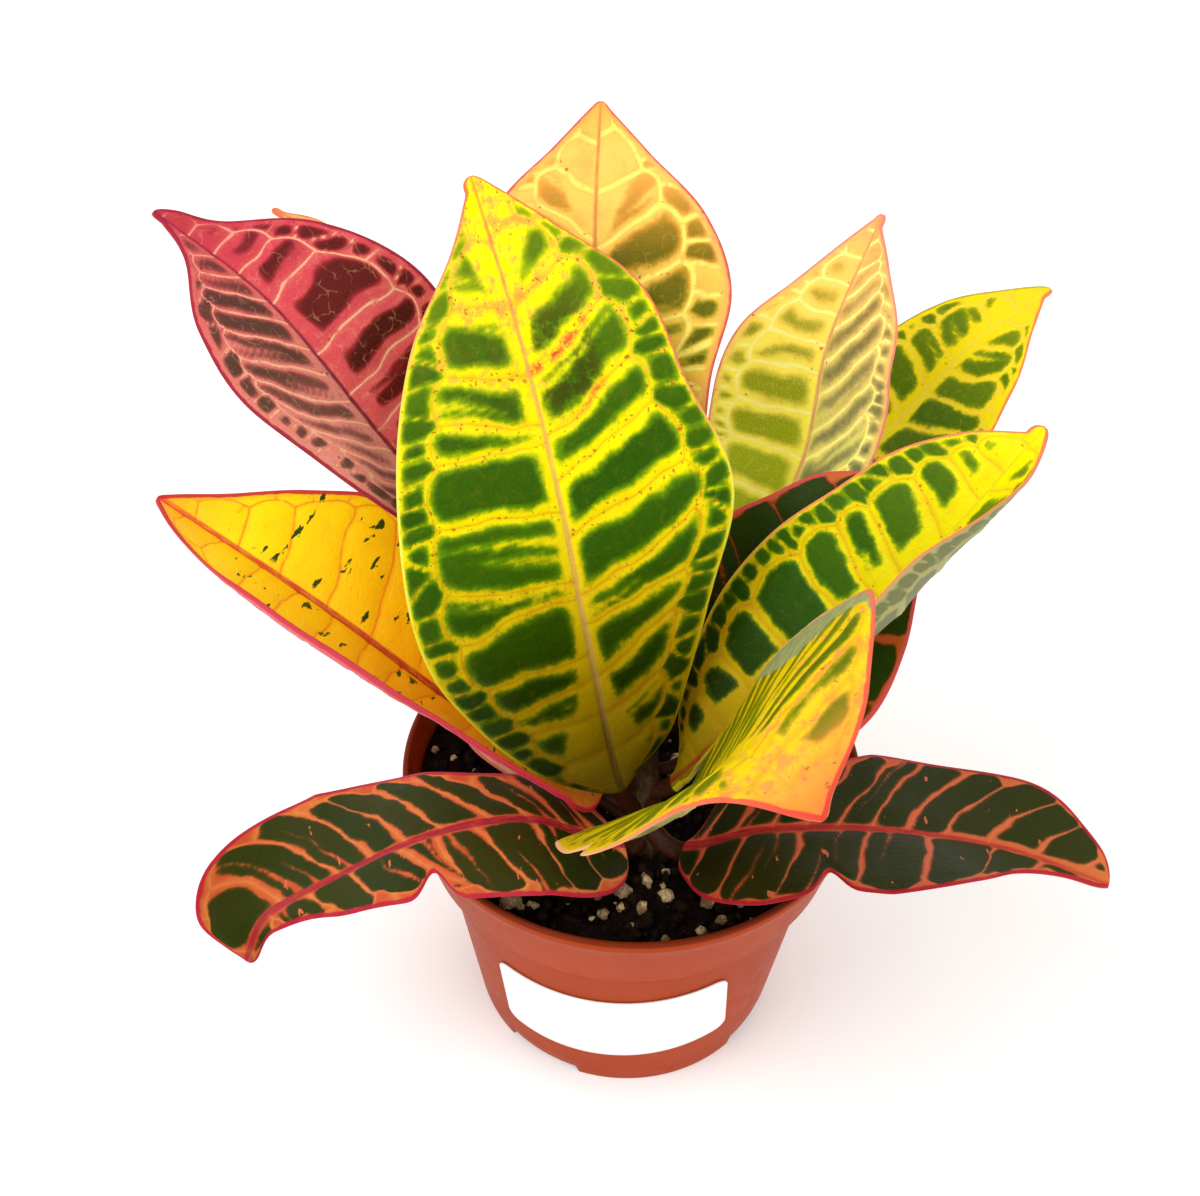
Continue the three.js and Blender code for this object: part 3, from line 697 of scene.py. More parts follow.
def vein_fields(blade, half, side, veins, seed):
    """Fields over a half blade's grid, from which its colours and relief follow.

    cell: how far inside a cell between the vein bands, in millimetres, negative on a band
    vein: position between the side veins, a whole number on each
    pitch: distance between the side veins there
    reach: half-width of the nearest side vein's band
    loop: how far past the loop vein
    border: distance to the border between two marginal cells
    tint: a shade from 0 to 1 for each cell
    """
    random = np.random.default_rng(seed)
    wander = Ripple(seed)
    waver = Ripple(seed + 1)
    y = half["y"]
    x = np.broadcast_to(blade.x[:, None], y.shape)
    wide = np.broadcast_to(half["width"][:, None], y.shape)
    px = x + wander.layered(x, y, WANDER_ALONG) * smoothstep(0, 5, y)
    py = y + waver.layered(x, y, WANDER_ACROSS)
    fringe = 1 + veins["fringe"] * wander(x + 20, y, FRINGE_SIZE)
    inset = np.minimum(veins["inset"], MOST_INSET * wide) * fringe

    feet, heads, bands, mid = side_veins(veins, side, blade.length, random)
    reach = np.interp(heads, blade.x, half["width"] - inset[:, -1])
    reach = np.maximum(reach, LEAST_REACH * half["width"].max())
    t = py[None] / reach[:, None, None]
    bend = (1 - VEIN_BEND) * t + VEIN_BEND * t * np.abs(t)
    lines = feet[:, None, None] + (heads - feet)[:, None, None] * bend
    lines = np.maximum.accumulate(lines + LEAST_VEIN_STEP * np.arange(len(feet))[:, None, None], axis=0)
    k = np.clip((lines <= px[None]).sum(axis=0) - 1, 0, len(feet) - 2)
    low = np.take_along_axis(lines, k[None], 0)[0]
    gap = np.maximum(np.take_along_axis(lines, k[None] + 1, 0)[0] - low, 0.05)
    share = np.clip((px - low) / gap, 0, 1)
    across = gap / np.hypot(1, ((heads - feet) / reach)[k])

    fading = np.where(random.random(len(feet)) < veins["broken"], BROKEN_FADING, 0)[:, None, None]
    uneven = 1 + veins["uneven"] * wander(x + 50, y, UNEVEN_SIZE)
    half_band = bands[:, None, None] * (uneven - fading * np.clip(t, 0, 1.3) ** 2)
    band_below = np.take_along_axis(half_band, k[None], 0)[0]
    band_above = np.take_along_axis(half_band, k[None] + 1, 0)[0]
    below = share * across - band_below
    above = (1 - share) * across - band_above
    beside = py - stations_along(mid, np.clip(px / blade.length, 0, 1))
    loop = wide - inset + CELL_BULGE * (0.6 - (2 * share - 1) ** 2) * np.clip(gap / 8, 0, 1)
    loop_band = 0.5 * veins["band"] * uneven
    main = soft_min([below, above, beside, loop - loop_band - py], CELL_ROUNDING)
    main = main - CELL_SHRINK * random.random(len(feet))[k]
    main = soft_min([main, partial_veins(k, share, across, gap, py, reach, veins, random)], 0.3)

    margin, border, number = margin_cells(px, py - loop, wide - y, wide - loop, heads, veins, random)
    tint = np.where(main > margin, random.random(len(feet))[k], random.random(number.max() + 1)[number])
    return {
        "cell": np.full_like(main, ABSENT) if veins["plain"] else np.maximum(main, margin),
        "vein": k + share,
        "pitch": across,
        "reach": np.where(share < 0.5, band_below, band_above),
        "loop": py - loop,
        "border": border,
        "edge": wide - y,
        "rib": y,
        "span": np.clip(x / blade.length, 0, 1),
        "tint": tint,
    }


def partial_veins(k, share, across, gap, py, reach, veins, random):
    """Distance from the thin veins that start at the midrib or the loop vein and fade inside a cell."""
    nearest = FAR
    for middle in PARTIAL_AT:
        count = len(reach)
        present = random.random(count) < veins["partial"]
        from_midrib = random.random(count) < 0.5
        place = middle + 0.12 * (random.random(count) - 0.5)
        extent = (0.4 + 0.5 * random.random(count)) * reach
        start = np.where(from_midrib, 0, reach)
        depth = np.abs(py - start[k]) / extent[k]
        width = (0.8 + 0.5 * random.random(count)) * veins["band"]
        wedge = np.abs(share - place[k]) * across - width[k] * (1 - depth) + 2.5 * np.maximum(depth - 1, 0)
        nearest = np.minimum(nearest, np.where(present[k] & (gap > PARTIAL_ROOM), wedge, FAR))
    return nearest


def margin_cells(px, past_loop, edge, room, heads, veins, random):
    """The small rounded cells between the loop vein and the margin.

    Gives how far inside a cell a place is, how far from the border between two cells, and which
    cell it is. A cell stands at the head of each side vein, which forks round it.
    """
    size = veins["margin_cell"]
    seeds = []
    for head, after in zip(heads[:-1], heads[1:]):
        steps = max(1, round((after - head) / size))
        for step in range(steps):
            jitter = random.uniform(-0.33, 0.33) if step else random.uniform(-0.15, 0.15)
            depth = random.uniform(0.35, 0.6) if random.random() < 0.7 else random.uniform(0.15, 0.8)
            seeds.append((head + (after - head) * (step + jitter) / steps, depth * veins["inset"]))
    seeds = np.array(seeds)
    distance = np.hypot(px[None] - seeds[:, 0, None, None], past_loop[None] - seeds[:, 1, None, None])
    order = np.argsort(distance, axis=0)[:2]
    near, next_near = np.take_along_axis(distance, order, 0)
    between = np.hypot(*(seeds[order[0]] - seeds[order[1]]).transpose(2, 0, 1))
    border = (next_near**2 - near**2) / (2 * np.maximum(between, 0.1))
    shrink = veins["margin_shrink"] * random.random(len(seeds)) ** 2
    gap = veins["margin_gap"] * veins["band"]
    gone = random.random(len(seeds)) < veins["margin_gone"]
    outer = edge - veins["rim"] - 0.4 * random.random(len(seeds))[order[0]]
    inner = past_loop - 0.5 * veins["band"]
    cell = MARGIN_CONTRAST * (soft_min([border - gap, inner, outer], 0.5) - shrink[order[0]])
    cell = np.where(gone[order[0]] | (room < 0.6 * LEAST_MARGIN_INSET), ABSENT, cell)
    if veins["inset"] < LEAST_MARGIN_INSET:
        cell = np.full_like(cell, ABSENT)
    return cell, border, order[0]


def relief(fields, s):
    """How far the blade's surface stands up or down from its even form."""
    to_vein = np.abs(fields["vein"] - np.round(fields["vein"])) * fields["pitch"]
    to_net = np.where(fields["loop"] < 0, np.minimum(to_vein, -fields["loop"]), fields["border"])
    inside_loop = smoothstep(1, 5, fields["edge"])
    groove = LATERAL_GROOVE * bell(to_net, LATERAL_GROOVE_WIDTH) * inside_loop
    midrib = MIDRIB_GROOVE * bell(fields["rib"], MIDRIB_GROOVE_WIDTH) * (1 - s)[:, None]
    swell = QUILTING * smoothstep(0, 3.2, to_net) * smoothstep(0.5, 4, fields["rib"]) * inside_loop
    return swell - groove - midrib


def leaf_mesh(name, shape, veins, seed):
    """A closed, finely divided leaf with its stalk, and the vein fields on its face corners."""
    blade = Blade(shape)
    waves = Ripple(seed + 5)
    layers = {"top": [], "under": []}
    fields = []
    for half, side, shift in zip(blade.halves, ("left", "right"), (0, 3)):
        found = vein_fields(blade, half, side, veins, seed + shift)
        fields.append(found)
        settled = (1 - blade.stalk)[:, None]
        wave = UNDULATION * waves(blade.x[:, None] + 0 * half["y"], half["sign"] * half["y"], UNDULATION_SIZE)
        lift = (relief(found, blade.s) + wave * smoothstep(2, 8, half["y"])) * settled
        a = blade.across[None, :]
        rounding = np.sqrt(np.clip(1 - smoothstep(0.9, 1, a) ** 2, 0, 1))
        thin = np.maximum((BLADE + (MARGIN_BLADE - BLADE) * a) / 2 * rounding, EDGE_BLADE / 2)
        round_stalk = np.maximum(STALK_R * np.sqrt(1 - a * a), EDGE_BLADE)
        ridge = MIDRIB * (1 - blade.s)[:, None] * bell(half["y"], RIDGE_WIDTH)
        stalk = blade.stalk[:, None]
        layers["top"].append(blade.surface(half, thin * (1 - stalk) + round_stalk * stalk + lift))
        layers["under"].append(blade.surface(half, lift - (thin + ridge) * (1 - stalk) - round_stalk * stalk))
    return assemble_leaf(name, blade, layers, fields)


def leaf_faces(rows, half_columns):
    """Faces of a leaf's two sheets and of the rim between them, and the source of each face corner.

    A source is a place in the grids of the two half blades set side by side. There the midrib has
    two columns, one for each half, while the sheets have one.
    """
    columns = 2 * half_columns + 1
    count = rows * columns
    i, j = np.divmod(np.arange((rows - 1) * (columns - 1)), columns - 1)
    on_right = (j >= half_columns)[:, None]
    corner_i = np.stack([i, i, i + 1, i + 1], axis=1)
    corner_j = np.stack([j, j + 1, j + 1, j], axis=1)
    top = corner_i * columns + corner_j
    top_source = corner_i * (columns + 1) + corner_j + on_right
    rim_i, rim_j = rim_of(rows, columns)
    here = rim_i * columns + rim_j
    after = np.roll(here, -1)
    rim = np.stack([here, here + count, after + count, after], axis=1)
    here = rim_i * (columns + 1) + rim_j + (rim_j > half_columns)
    after = np.roll(here, -1)
    rim_source = np.stack([here, here, after, after], axis=1)
    faces = [top, top[:, ::-1] + count, rim]
    sources = [top_source, top_source[:, ::-1], rim_source]
    return faces, np.concatenate(sources).ravel()


def assemble_leaf(name, blade, layers, fields):
    """One mesh of a leaf's two sheets, with the fields of both half blades on its face corners."""
    half_columns = len(blade.across) - 1
    faces, sources = leaf_faces(len(blade.s), half_columns)
    sheets = [np.concatenate([left[:, ::-1], right[:, 1:]], axis=1) for left, right in layers.values()]
    points = np.concatenate([sheet.reshape(-1, 3) for sheet in sheets])
    mesh = mesh_of(name, points * MM, np.concatenate(faces))

    left, right = fields
    values = {key: np.concatenate([left[key][:, ::-1], right[key]], axis=1).ravel()[sources] for key in left}
    row, column = np.divmod(sources, 2 * half_columns + 2)
    values["side"] = np.float64(column > half_columns)
    values["under"] = np.repeat([0.0, 1.0, 0.0], [part.size for part in faces])
    values["stalk"] = (blade.stalk * (blade.x < 0.5))[row]
    for key, value in values.items():
        layer = mesh.attributes.new(key, "FLOAT", "CORNER")
        layer.data.foreach_set("value", value.astype(np.float32))
    across = values["rib"] * (2 * values["side"] - 1)
    places = np.stack([blade.x[row], across, UNDER_SHIFT * values["under"]], axis=1)
    place = mesh.attributes.new("place", "FLOAT_VECTOR", "CORNER")
    place.data.foreach_set("vector", places.astype(np.float32).ravel())
    return mesh


def rim_of(rows, columns):
    """Rows and columns of the grid's outer edge, in order round it."""
    last_i, last_j = rows - 1, columns - 1
    i = [0] * last_j + [*range(last_i)] + [last_i] * last_j + [*range(last_i, 0, -1)]
    j = [*range(last_j)] + [last_j] * last_i + [*range(last_j, 0, -1)] + [0] * last_i
    return np.array(i), np.array(j)


def mesh_of(name, points, faces):
    """A smooth mesh, placed round the pot's axis, of faces that all have the same number of corners."""
    mesh = bpy.data.meshes.new(name)
    points = np.asarray(points) + np.array(pot_axis)
    corners = faces.shape[1]
    mesh.vertices.add(len(points))
    mesh.vertices.foreach_set("co", np.asarray(points, np.float32).ravel())
    mesh.loops.add(faces.size)
    mesh.loops.foreach_set("vertex_index", faces.astype(np.int32).ravel())
    mesh.polygons.add(len(faces))
    mesh.polygons.foreach_set("loop_start", np.arange(0, faces.size, corners, dtype=np.int32))
    mesh.update(calc_edges=True)
    mesh.polygons.foreach_set("use_smooth", np.full(len(faces), True))
    return mesh


def placed(name, data):
    """A new object in the scene."""
    thing = bpy.data.objects.new(name, data)
    bpy.context.scene.collection.objects.link(thing)
    return thing


def add_piece(mesh, node, material, slot=None):
    """Puts a mesh in the scene as a piece that stands for a node of the frame."""
    piece = placed(mesh.name, mesh)
    mesh.materials.append(material)
    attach(piece, BODY)
    if node:
        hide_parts(node)
    slot or node


# Materials
def linear(hex_color):
    """The linear light of a colour that is written in hexadecimal, with full opacity."""
    shares = [int(hex_color[k:k + 2], 16) / 255 for k in (1, 3, 5)]
    return tuple(c / 12.92 if c <= 0.04045 else ((c + 0.055) / 1.055) ** 2.4 for c in shares) + (1.0,)


class Shader:
    """Builds one material's nodes. Its methods take and return sockets or plain numbers."""

    def __init__(self, name):
        self.material = bpy.data.materials.new(name)
        self.material.use_nodes = True
        self.tree = self.material.node_tree
        self.tree.nodes.clear()
        output = self.node("ShaderNodeOutputMaterial")
        self.surface = self.node("ShaderNodeBsdfPrincipled")
        self.tree.links.new(self.surface.outputs["BSDF"], output.inputs["Surface"])

    def node(self, kind):
        return self.tree.nodes.new(kind)

    def feed(self, socket, value):
        if isinstance(value, bpy.types.NodeSocket):
            self.tree.links.new(value, socket)
        else:
            socket.default_value = value

    def attribute(self, name, output="Fac"):
        node = self.node("ShaderNodeAttribute")
        node.attribute_name = name
        return node.outputs[output]

    def position(self):
        """Places on the piece, in millimetres."""
        node = self.node("ShaderNodeTexCoord")
        return self.scaled(node.outputs["Object"], 1 / MM)

    def height(self, place):
        node = self.node("ShaderNodeSeparateXYZ")
        self.feed(node.inputs[0], place)
        return node.outputs["Z"]

    def moved(self, vector, shift):
        return self.on_vectors("ADD", vector, shift)

    def stretched(self, vector, factors):
        return self.on_vectors("MULTIPLY", vector, factors)

    def scaled(self, vector, factor):
        return self.stretched(vector, (factor, factor, factor))

    def on_vectors(self, operation, first, second):
        node = self.node("ShaderNodeVectorMath")
        node.operation = operation
        self.feed(node.inputs[0], first)
        self.feed(node.inputs[1], second)
        return node.outputs[0]

    def math(self, operation, *values):
        node = self.node("ShaderNodeMath")
        node.operation = operation
        for socket, value in zip(node.inputs, values):
            self.feed(socket, value)
        return node.outputs[0]

    def times(self, *values):
        product = values[0]
        for value in values[1:]:
            product = self.math("MULTIPLY", product, value)
        return product

    def total(self, *terms):
        """The sum of sockets, numbers and pairs of a socket and its factor."""
        found = 0
        for term in terms:
            value, factor = term if isinstance(term, tuple) else (term, 1)
            found = self.math("MULTIPLY_ADD", value, factor, found)
        return found

    def least(self, *values):
        found = values[0]
        for value in values[1:]:
            found = self.math("MINIMUM", found, value)
        return found

    def step(self, low, high, value):
        """0 below low, 1 above high and smooth between them. With low above high it falls instead."""
        node = self.node("ShaderNodeMapRange")
        node.interpolation_type = "SMOOTHSTEP"
        self.feed(node.inputs["Value"], value)
        node.inputs["From Min"].default_value = min(low, high)
        node.inputs["From Max"].default_value = max(low, high)
        node.inputs["To Min"].default_value = float(low > high)
        node.inputs["To Max"].default_value = float(low <= high)
        return node.outputs["Result"]

    def noise(self, vector, scale, detail=3, roughness=0.55, output="Fac"):
        node = self.node("ShaderNodeTexNoise")
        self.feed(node.inputs["Vector"], vector)
        node.inputs["Scale"].default_value = scale
        node.inputs["Detail"].default_value = detail
        node.inputs["Roughness"].default_value = roughness
        return node.outputs[output]

    def cells(self, vector, scale, feature="F1", output="Distance"):
        node = self.node("ShaderNodeTexVoronoi")
        node.voronoi_dimensions = "2D"
        node.feature = feature
        self.feed(node.inputs["Vector"], vector)
        node.inputs["Scale"].default_value = scale
        return node.outputs[output]

    def mix(self, share, first, second):
        node = self.node("ShaderNodeMix")
        node.data_type = "RGBA"
        self.feed(node.inputs[0], share)
        self.feed(node.inputs[6], first)
        self.feed(node.inputs[7], second)
        return node.outputs[2]

    def ramp(self, value, stops):
        """A colour that changes with value through (place, hex colour) stops. One colour is constant."""
        if isinstance(stops, str):
            return linear(stops)
        node = self.node("ShaderNodeValToRGB")
        self.feed(node.inputs["Fac"], value)
        elements = node.color_ramp.elements
        while len(elements) < len(stops):
            elements.new(0.5)
        for element, (place, color) in zip(elements, stops):
            element.position = place
            element.color = linear(color)
        return node.outputs["Color"]

    def over(self, color, share, top):
        """The colour with another laid over it. A share is a socket, or several that are multiplied."""
        share = self.times(*share) if isinstance(share, tuple) else share
        return self.mix(share, color, linear(top) if isinstance(top, str) else top)

    def bump(self, height, distance, strength):
        node = self.node("ShaderNodeBump")
        node.inputs["Strength"].default_value = strength
        node.inputs["Distance"].default_value = distance * MM
        self.feed(node.inputs["Height"], height)
        return node.outputs["Normal"]

    def finish(self, color, roughness, specular, normal=None):
        """Gives the surface its colour, roughness, mirror share and normal, and returns the material."""
        inputs = self.surface.inputs
        self.feed(inputs["Base Color"], color)
        self.feed(inputs["Roughness"], roughness)
        inputs["Specular IOR Level"].default_value = specular
        if normal is not None:
            self.feed(inputs["Normal"], normal)
        return self.material


# Leaf colours, from base to tip where a list is given. `cell` colours the blotches between the
# veins and `cell_edge` their soft edges, `band` the bands along the veins, `line` the fine veins,
# `rim` the margin. A pair of entries for the two halves has _left and _right after its name.
# `warmth` clouds the bands, `mottle` the tip and `blush` the margin with another colour. `softness`
# and `raggedness` are those of the blotches' edges. `grains`, `veinlets`, `lines`, `flecks`, `stain`
# and `spots` say how strong or how many these marks are. `under_band` and `under_cell` colour the
# underside, and `turned_edge` the margin that is turned over.
# An emission strength in a leaf's paint is painted light: a faint glow in the leaf's own colours that stands
# in for light shining through the blade.
GREEN = [
    (0, "#081400"), (0.2, "#0f2200"), (0.42, "#1a4202"), (0.7, "#265506"), (0.88, "#4a6b0e"), (1, "#70800f"),
]
GREEN_EDGE = [(0, "#2c3600"), (0.3, "#506800"), (0.5, "#6a9a02"), (0.8, "#9aba06"), (1, "#b0b808")]
YELLOW = [
    (0, "#5c4c04"), (0.12, "#8a7404"), (0.26, "#b89a04"), (0.4, "#e6cc06"), (0.55, "#fdf000"), (1, "#fff400"),
]
DARK_UNDERSIDE = {"under_band": "#b4705c", "under_cell": "#4c4430"}
LOW_LEAF = {"midrib_width": 1, "flecks": 0.25, "fleck_color": "#d86c44", "gloss": 0.1, **DARK_UNDERSIDE}
BACK_LEAF = {
    "cell": GREEN, "cell_edge": GREEN_EDGE, "line": "#c08020", "lines": 0.4, "spots": 0.3,
    "spot_color": "#b84a20",
}
PAINTS = {
    "tall_front_leaf": {
        "band": YELLOW, "cell": GREEN, "cell_edge": GREEN_EDGE,
        "warmth": [(0, "#4c3c04"), (0.2, "#8c6c04"), (0.4, "#d0a808"), (0.6, "#f8d808"), (0.76, "#f4cc20"),
                   (0.88, "#f0a050"), (1, "#f0a838")],
        "softness": 1.5,
        "line": [(0, "#8a5a08"), (0.3, "#b06c08"), (0.5, "#e0a008"), (0.75, "#f0b828")], "lines": 0.55,
        "veinlets": 0.05,
        "midrib": [(0, "#3c2a0c"), (0.1, "#5c4418"), (0.2, "#94743a"), (0.35, "#c89c50"), (0.6, "#ecac5c"),
                   (0.85, "#ee8a50"), (1, "#f0902c")],
        "midrib_share": 0.8, "rim_width": 0.35,
        "rim_left": [(0, "#6a5a10"), (0.3, "#c9c020"), (0.5, "#f4f060"), (0.72, "#f4e060"), (0.85, "#ee8a5c"),
                     (1, "#e06a40")],
        "rim_right": [(0, "#6a5a10"), (0.3, "#c9c020"), (0.5, "#f4f060"), (0.6, "#f0a460"), (0.7, "#e8685c"),
                      (1, "#e06a40")],
        "spots": 0.7, "spot_color": "#a8481c", "stain": 0.9, "mottle": "#f08c50",
    },
    "top_back_leaf": {
        "band": [(0, "#c8a418"), (0.5, "#f0c43c"), (0.68, "#f6c850"), (0.8, "#fcd060"), (0.9, "#fccc60"),
                 (1, "#fdbc48")],
        "warmth": "#f4a050", "blush": [(0, "#d8a040"), (0.7, "#f0946c"), (1, "#f8a050")], "veinlets": 0.12,
        "cell": [(0, "#384804"), (0.5, "#465406"), (0.72, "#5c5c0a"), (0.79, "#a07c20"), (0.86, "#f0a448"),
                 (1, "#fbb440")],
        "cell_edge": [(0, "#a0a010"), (0.6, "#bca824"), (0.75, "#dc9c34"), (0.88, "#f4a848")],
        "softness": 1.5,
        "line": "#fdf070", "lines": 0.9, "line_width": 0.75,
        "midrib": [(0, "#d89040"), (0.7, "#d88048"), (1, "#e89040")], "rim": "#d4554e", "rim_width": 0.45,
        "spots": 0.12, "spot_color": "#c0502a",
    },
    "crimson_leaf": {
        # The left half's bands, cells and cell edges are paler and greyer than the right half's. They show
        # the leaf's own red with a painted sheen laid into it.
        "band_left": [(0, "#e89080"), (0.5, "#ee9884"), (0.7, "#e87c70"), (0.85, "#e0605c"), (1, "#c03c4c")],
        "band_right": [(0, "#ec8470"), (0.5, "#e45c5c"), (0.8, "#d84450"), (1, "#b4343c")],
        "cell_left": [(0, "#48442c"), (0.5, "#4c402c"), (0.75, "#40301c"), (1, "#541c24")], "raggedness": 0.3,
        "cell_right": [(0, "#300c04"), (0.6, "#3e1404"), (0.85, "#4c1408"), (1, "#7a2030")],
        "cell_edge_left": [(0, "#a06858"), (0.7, "#a04c44"), (1, "#98303c")],
        "cell_edge_right": [(0, "#8c2c20"), (0.7, "#a0282c"), (1, "#982840")],
        "line": [(0, "#fcd0a4"), (0.75, "#fcc094"), (1, "#e88078")], "lines": 0.9, "line_width": 0.34,
        "warmth": [(0, "#f08c74"), (0.7, "#f08070"), (1, "#c03848")], "veinlets": 0.2,
        "under_band": "#d89a88", "under_cell": "#746054",
        "midrib": [(0, "#641420"), (0.6, "#74142c"), (1, "#9c2444")], "rim": "#a01834", "rim_width": 0.7,
        "spots": 0.12, "spot_color": "#7a2030", "grains": 0.35, "gloss": 0.12,
    },
    "orange_yellow_leaf": {
        # The left half's bands are lighter near the base and more orange farther out than the right half's.
        # This is painted light, which offsets the shade of that half where it turns away from the lamps.
        "band_left": [(0, "#c06408"), (0.25, "#ec8c08"), (0.45, "#ffb008"), (0.65, "#ffc808"),
                      (0.85, "#ffd408"), (1, "#fca818")],
        "band_right": [(0, "#a85c08"), (0.25, "#d88408"), (0.45, "#fcb006"), (0.65, "#fed006"),
                       (0.85, "#fee408"), (1, "#fca818")],
        "cell": "#c89008", "cell_edge": "#f4a810",
        "warmth": [(0, "#b85c08"), (0.5, "#f49a08"), (1, "#fdd820")],
        "blush": [(0, "#b84010"), (0.6, "#f08c18"), (1, "#f07828")],
        "line": "#e44c1c", "lines": 0.5, "line_width": 0.4,
        "midrib": [(0, "#7c0c14"), (0.5, "#b8201c"), (1, "#e04a30")], "rim": "#bc1830", "rim_width": 1.1,
        # Painted light: a faint glow in this leaf's own colours stands in for light shining through it.
        "midrib_width": 1.25, "flecks": 0.5, "gloss": 0.15, "painted_backlight": 0.12,
        "under_band": [(0, "#b83048"), (0.5, "#d46068"), (1, "#d04c4c")], "under_cell": "#cc5c64",
    },
    "upper_right_leaf": {
        "band_left": [(0, "#f0f440"), (0.4, "#fcf850"), (0.6, "#fff450"), (0.8, "#fcd868"), (1, "#f8a85c")],
        "band_right": [(0, "#c8cc68"), (0.5, "#dcd468"), (0.8, "#ecc068"), (1, "#f8a058")],
        "cell_left": [(0, "#80a008"), (0.4, "#88a006"), (0.7, "#788408"), (0.85, "#8c7c18"), (1, "#e0a848")],
        "cell_right": [(0, "#505c30"), (0.5, "#5e6238"), (0.8, "#6c6434"), (1, "#b8944c")],
        "cell_edge_left": [(0, "#dce03c"), (0.6, "#f0dc4c"), (1, "#f4b458")],
        "cell_edge_right": [(0, "#98a058"), (0.6, "#b0a45c"), (1, "#e8ac58")], "softness": 1.7,
        "grains": 0.35,
        # Painted light: a faint glow in this leaf's own colours stands in for light shining through it.
        "painted_backlight": 0.22,
        "warmth": "#f8d868", "blush": [(0, "#c4c850"), (0.6, "#eca468"), (1, "#f0986c")], "veinlets": 0.12,
        "line": "#fff890", "lines": 0.9, "line_width": 0.5,
        "midrib": [(0, "#d8a878"), (0.7, "#dc9468"), (1, "#e08860")], "rim": "#e07a68", "rim_width": 0.4,
        "spots": 0.1, "spot_color": "#a05030",
    },
    "outer_right_leaf": {
        "band": [(0, "#d8cc10"), (0.5, "#f0dc0c"), (0.8, "#f8e008"), (1, "#f4d420")],
        "cell": [(0, "#244c04"), (0.5, "#3a6004"), (0.8, "#527006"), (1, "#9aa010")],
        "cell_edge": "#98a004", "warmth": "#f8c828", "line": "#f4e060", "lines": 0.4, "veinlets": 0.12,
        "midrib": [(0, "#f0d050"), (1, "#f4dc30")], "rim_left": "#a8a014", "rim_right": "#ec7c50",
        "rim_width": 0.5, "spots": 0.1, "spot_color": "#b06020",
    },
    "rolled_right_leaf": {
        "band": [(0, "#6c5c04"), (0.14, "#947c04"), (0.3, "#c8ac04"), (0.5, "#eede00"), (1, "#fff400")],
        "cell": GREEN, "cell_edge": GREEN_EDGE, "line": "#c0701c", "lines": 0.22, "veinlets": 0.05,
        "warmth": [(0, "#8c6c04"), (0.5, "#e0a808"), (1, "#fcd420")],
        "midrib": [(0, "#7c1414"), (0.12, "#984014"), (0.25, "#d8b818"), (1, "#f0e020")],
        "rim": [(0, "#b0a418"), (0.4, "#e8c840"), (0.6, "#ec8a60"), (1, "#e87058")], "rim_width": 0.5,
        "spots": 0.35, "spot_color": "#b84a20", "stain": 0.35,
        "under_band": "#a8a468", "under_cell": [(0, "#606840"), (1, "#5c6440")],
    },
    "near_leaf": {
        "band": [(0, "#c8a80c"), (0.5, "#dcc008"), (0.8, "#f0d808"), (0.89, "#f8cc20"), (0.94, "#f4a83c"),
                 (1, "#ec7434")],
        "warmth": [(0, "#a07808"), (0.8, "#e8a010"), (1, "#f08838")],
        "cell": [(0, "#4c5404"), (0.5, "#6c7404"), (0.8, "#3c6004"), (0.9, "#4c6c04"), (0.955, "#f0943c"),
                 (1, "#f08838")],
        "cell_edge": [(0, "#a89c08"), (0.85, "#b8a80c"), (0.93, "#f49c3c")], "line": "#e8a040", "lines": 0.1,
        "midrib": [(0, "#c89050"), (0.5, "#d8b848"), (0.8, "#f0c828"), (0.93, "#f4a83c"), (1, "#f08838")],
        "rim": [(0, "#f0b080"), (0.6, "#f4b078"), (0.8, "#ec6c54"), (1, "#dc3c34")], "rim_width": 0.7,
        "spots": 0.3, "spot_color": "#c05030",
        "under_band": "#c8bc70", "under_cell": "#7c8048", "turned_edge": "#8a9668", "mottle": "#f08850",
    },
    "low_left_leaf": {
        "band": [(0, "#c44a2c"), (0.5, "#d05630"), (1, "#c05028")], "softness": 0.6,
        "cell": [(0, "#141f02"), (0.4, "#1f3006"), (0.7, "#24380a"), (1, "#203606")],
        "cell_edge": "#5c4418", "line": "#e88858", "lines": 0.4, "raggedness": 0.6, "warmth": "#dc8c40",
        "midrib": [(0, "#90102c"), (0.5, "#a01834"), (1, "#a82c38")], "rim": "#b41c38", "rim_width": 0.9,
        **LOW_LEAF,
    },
    "low_right_leaf": {
        "band": [(0, "#d05034"), (0.5, "#d4603a"), (1, "#d8743c")], "softness": 0.7,
        "cell": [(0, "#121f02"), (0.5, "#1e3008"), (1, "#24380c")],
        "cell_edge": "#543c18", "line": "#e07850", "lines": 0.6, "raggedness": 0.35,
        "midrib": [(0, "#9c1020"), (0.6, "#bc2c30"), (1, "#c84c34")], "rim": "#b41830", "rim_width": 0.8,
        **LOW_LEAF,
    },
    "shaded_right_leaf": {
        "band": [(0, "#8c3018"), (0.6, "#c85a28"), (1, "#e07a3c")],
        "cell": [(0, "#142c02"), (0.6, "#1e400a"), (1, "#2c5008")],
        "cell_edge": "#48300c", "line": "#d06030", "lines": 0.3, "raggedness": 0.6,
        "midrib": "#b03028", "rim": "#dc5450", "rim_width": 0.8, **DARK_UNDERSIDE,
    },
    "orange_tip_leaf": {
        "band": [(0, "#e0702c"), (0.6, "#f09c50"), (1, "#e8a860")], "cell": "#e09040", "cell_edge": "#f0a050",
        "line": "#e87840", "lines": 0.5, "midrib": "#e07848", "rim": "#e06848", "spots": 0.1,
        "spot_color": "#c06030",
    },
    "small_orange_leaf": {
        "band": [(0, "#d86c30"), (1, "#ec8848")], "cell": "#e08040", "cell_edge": "#e88040",
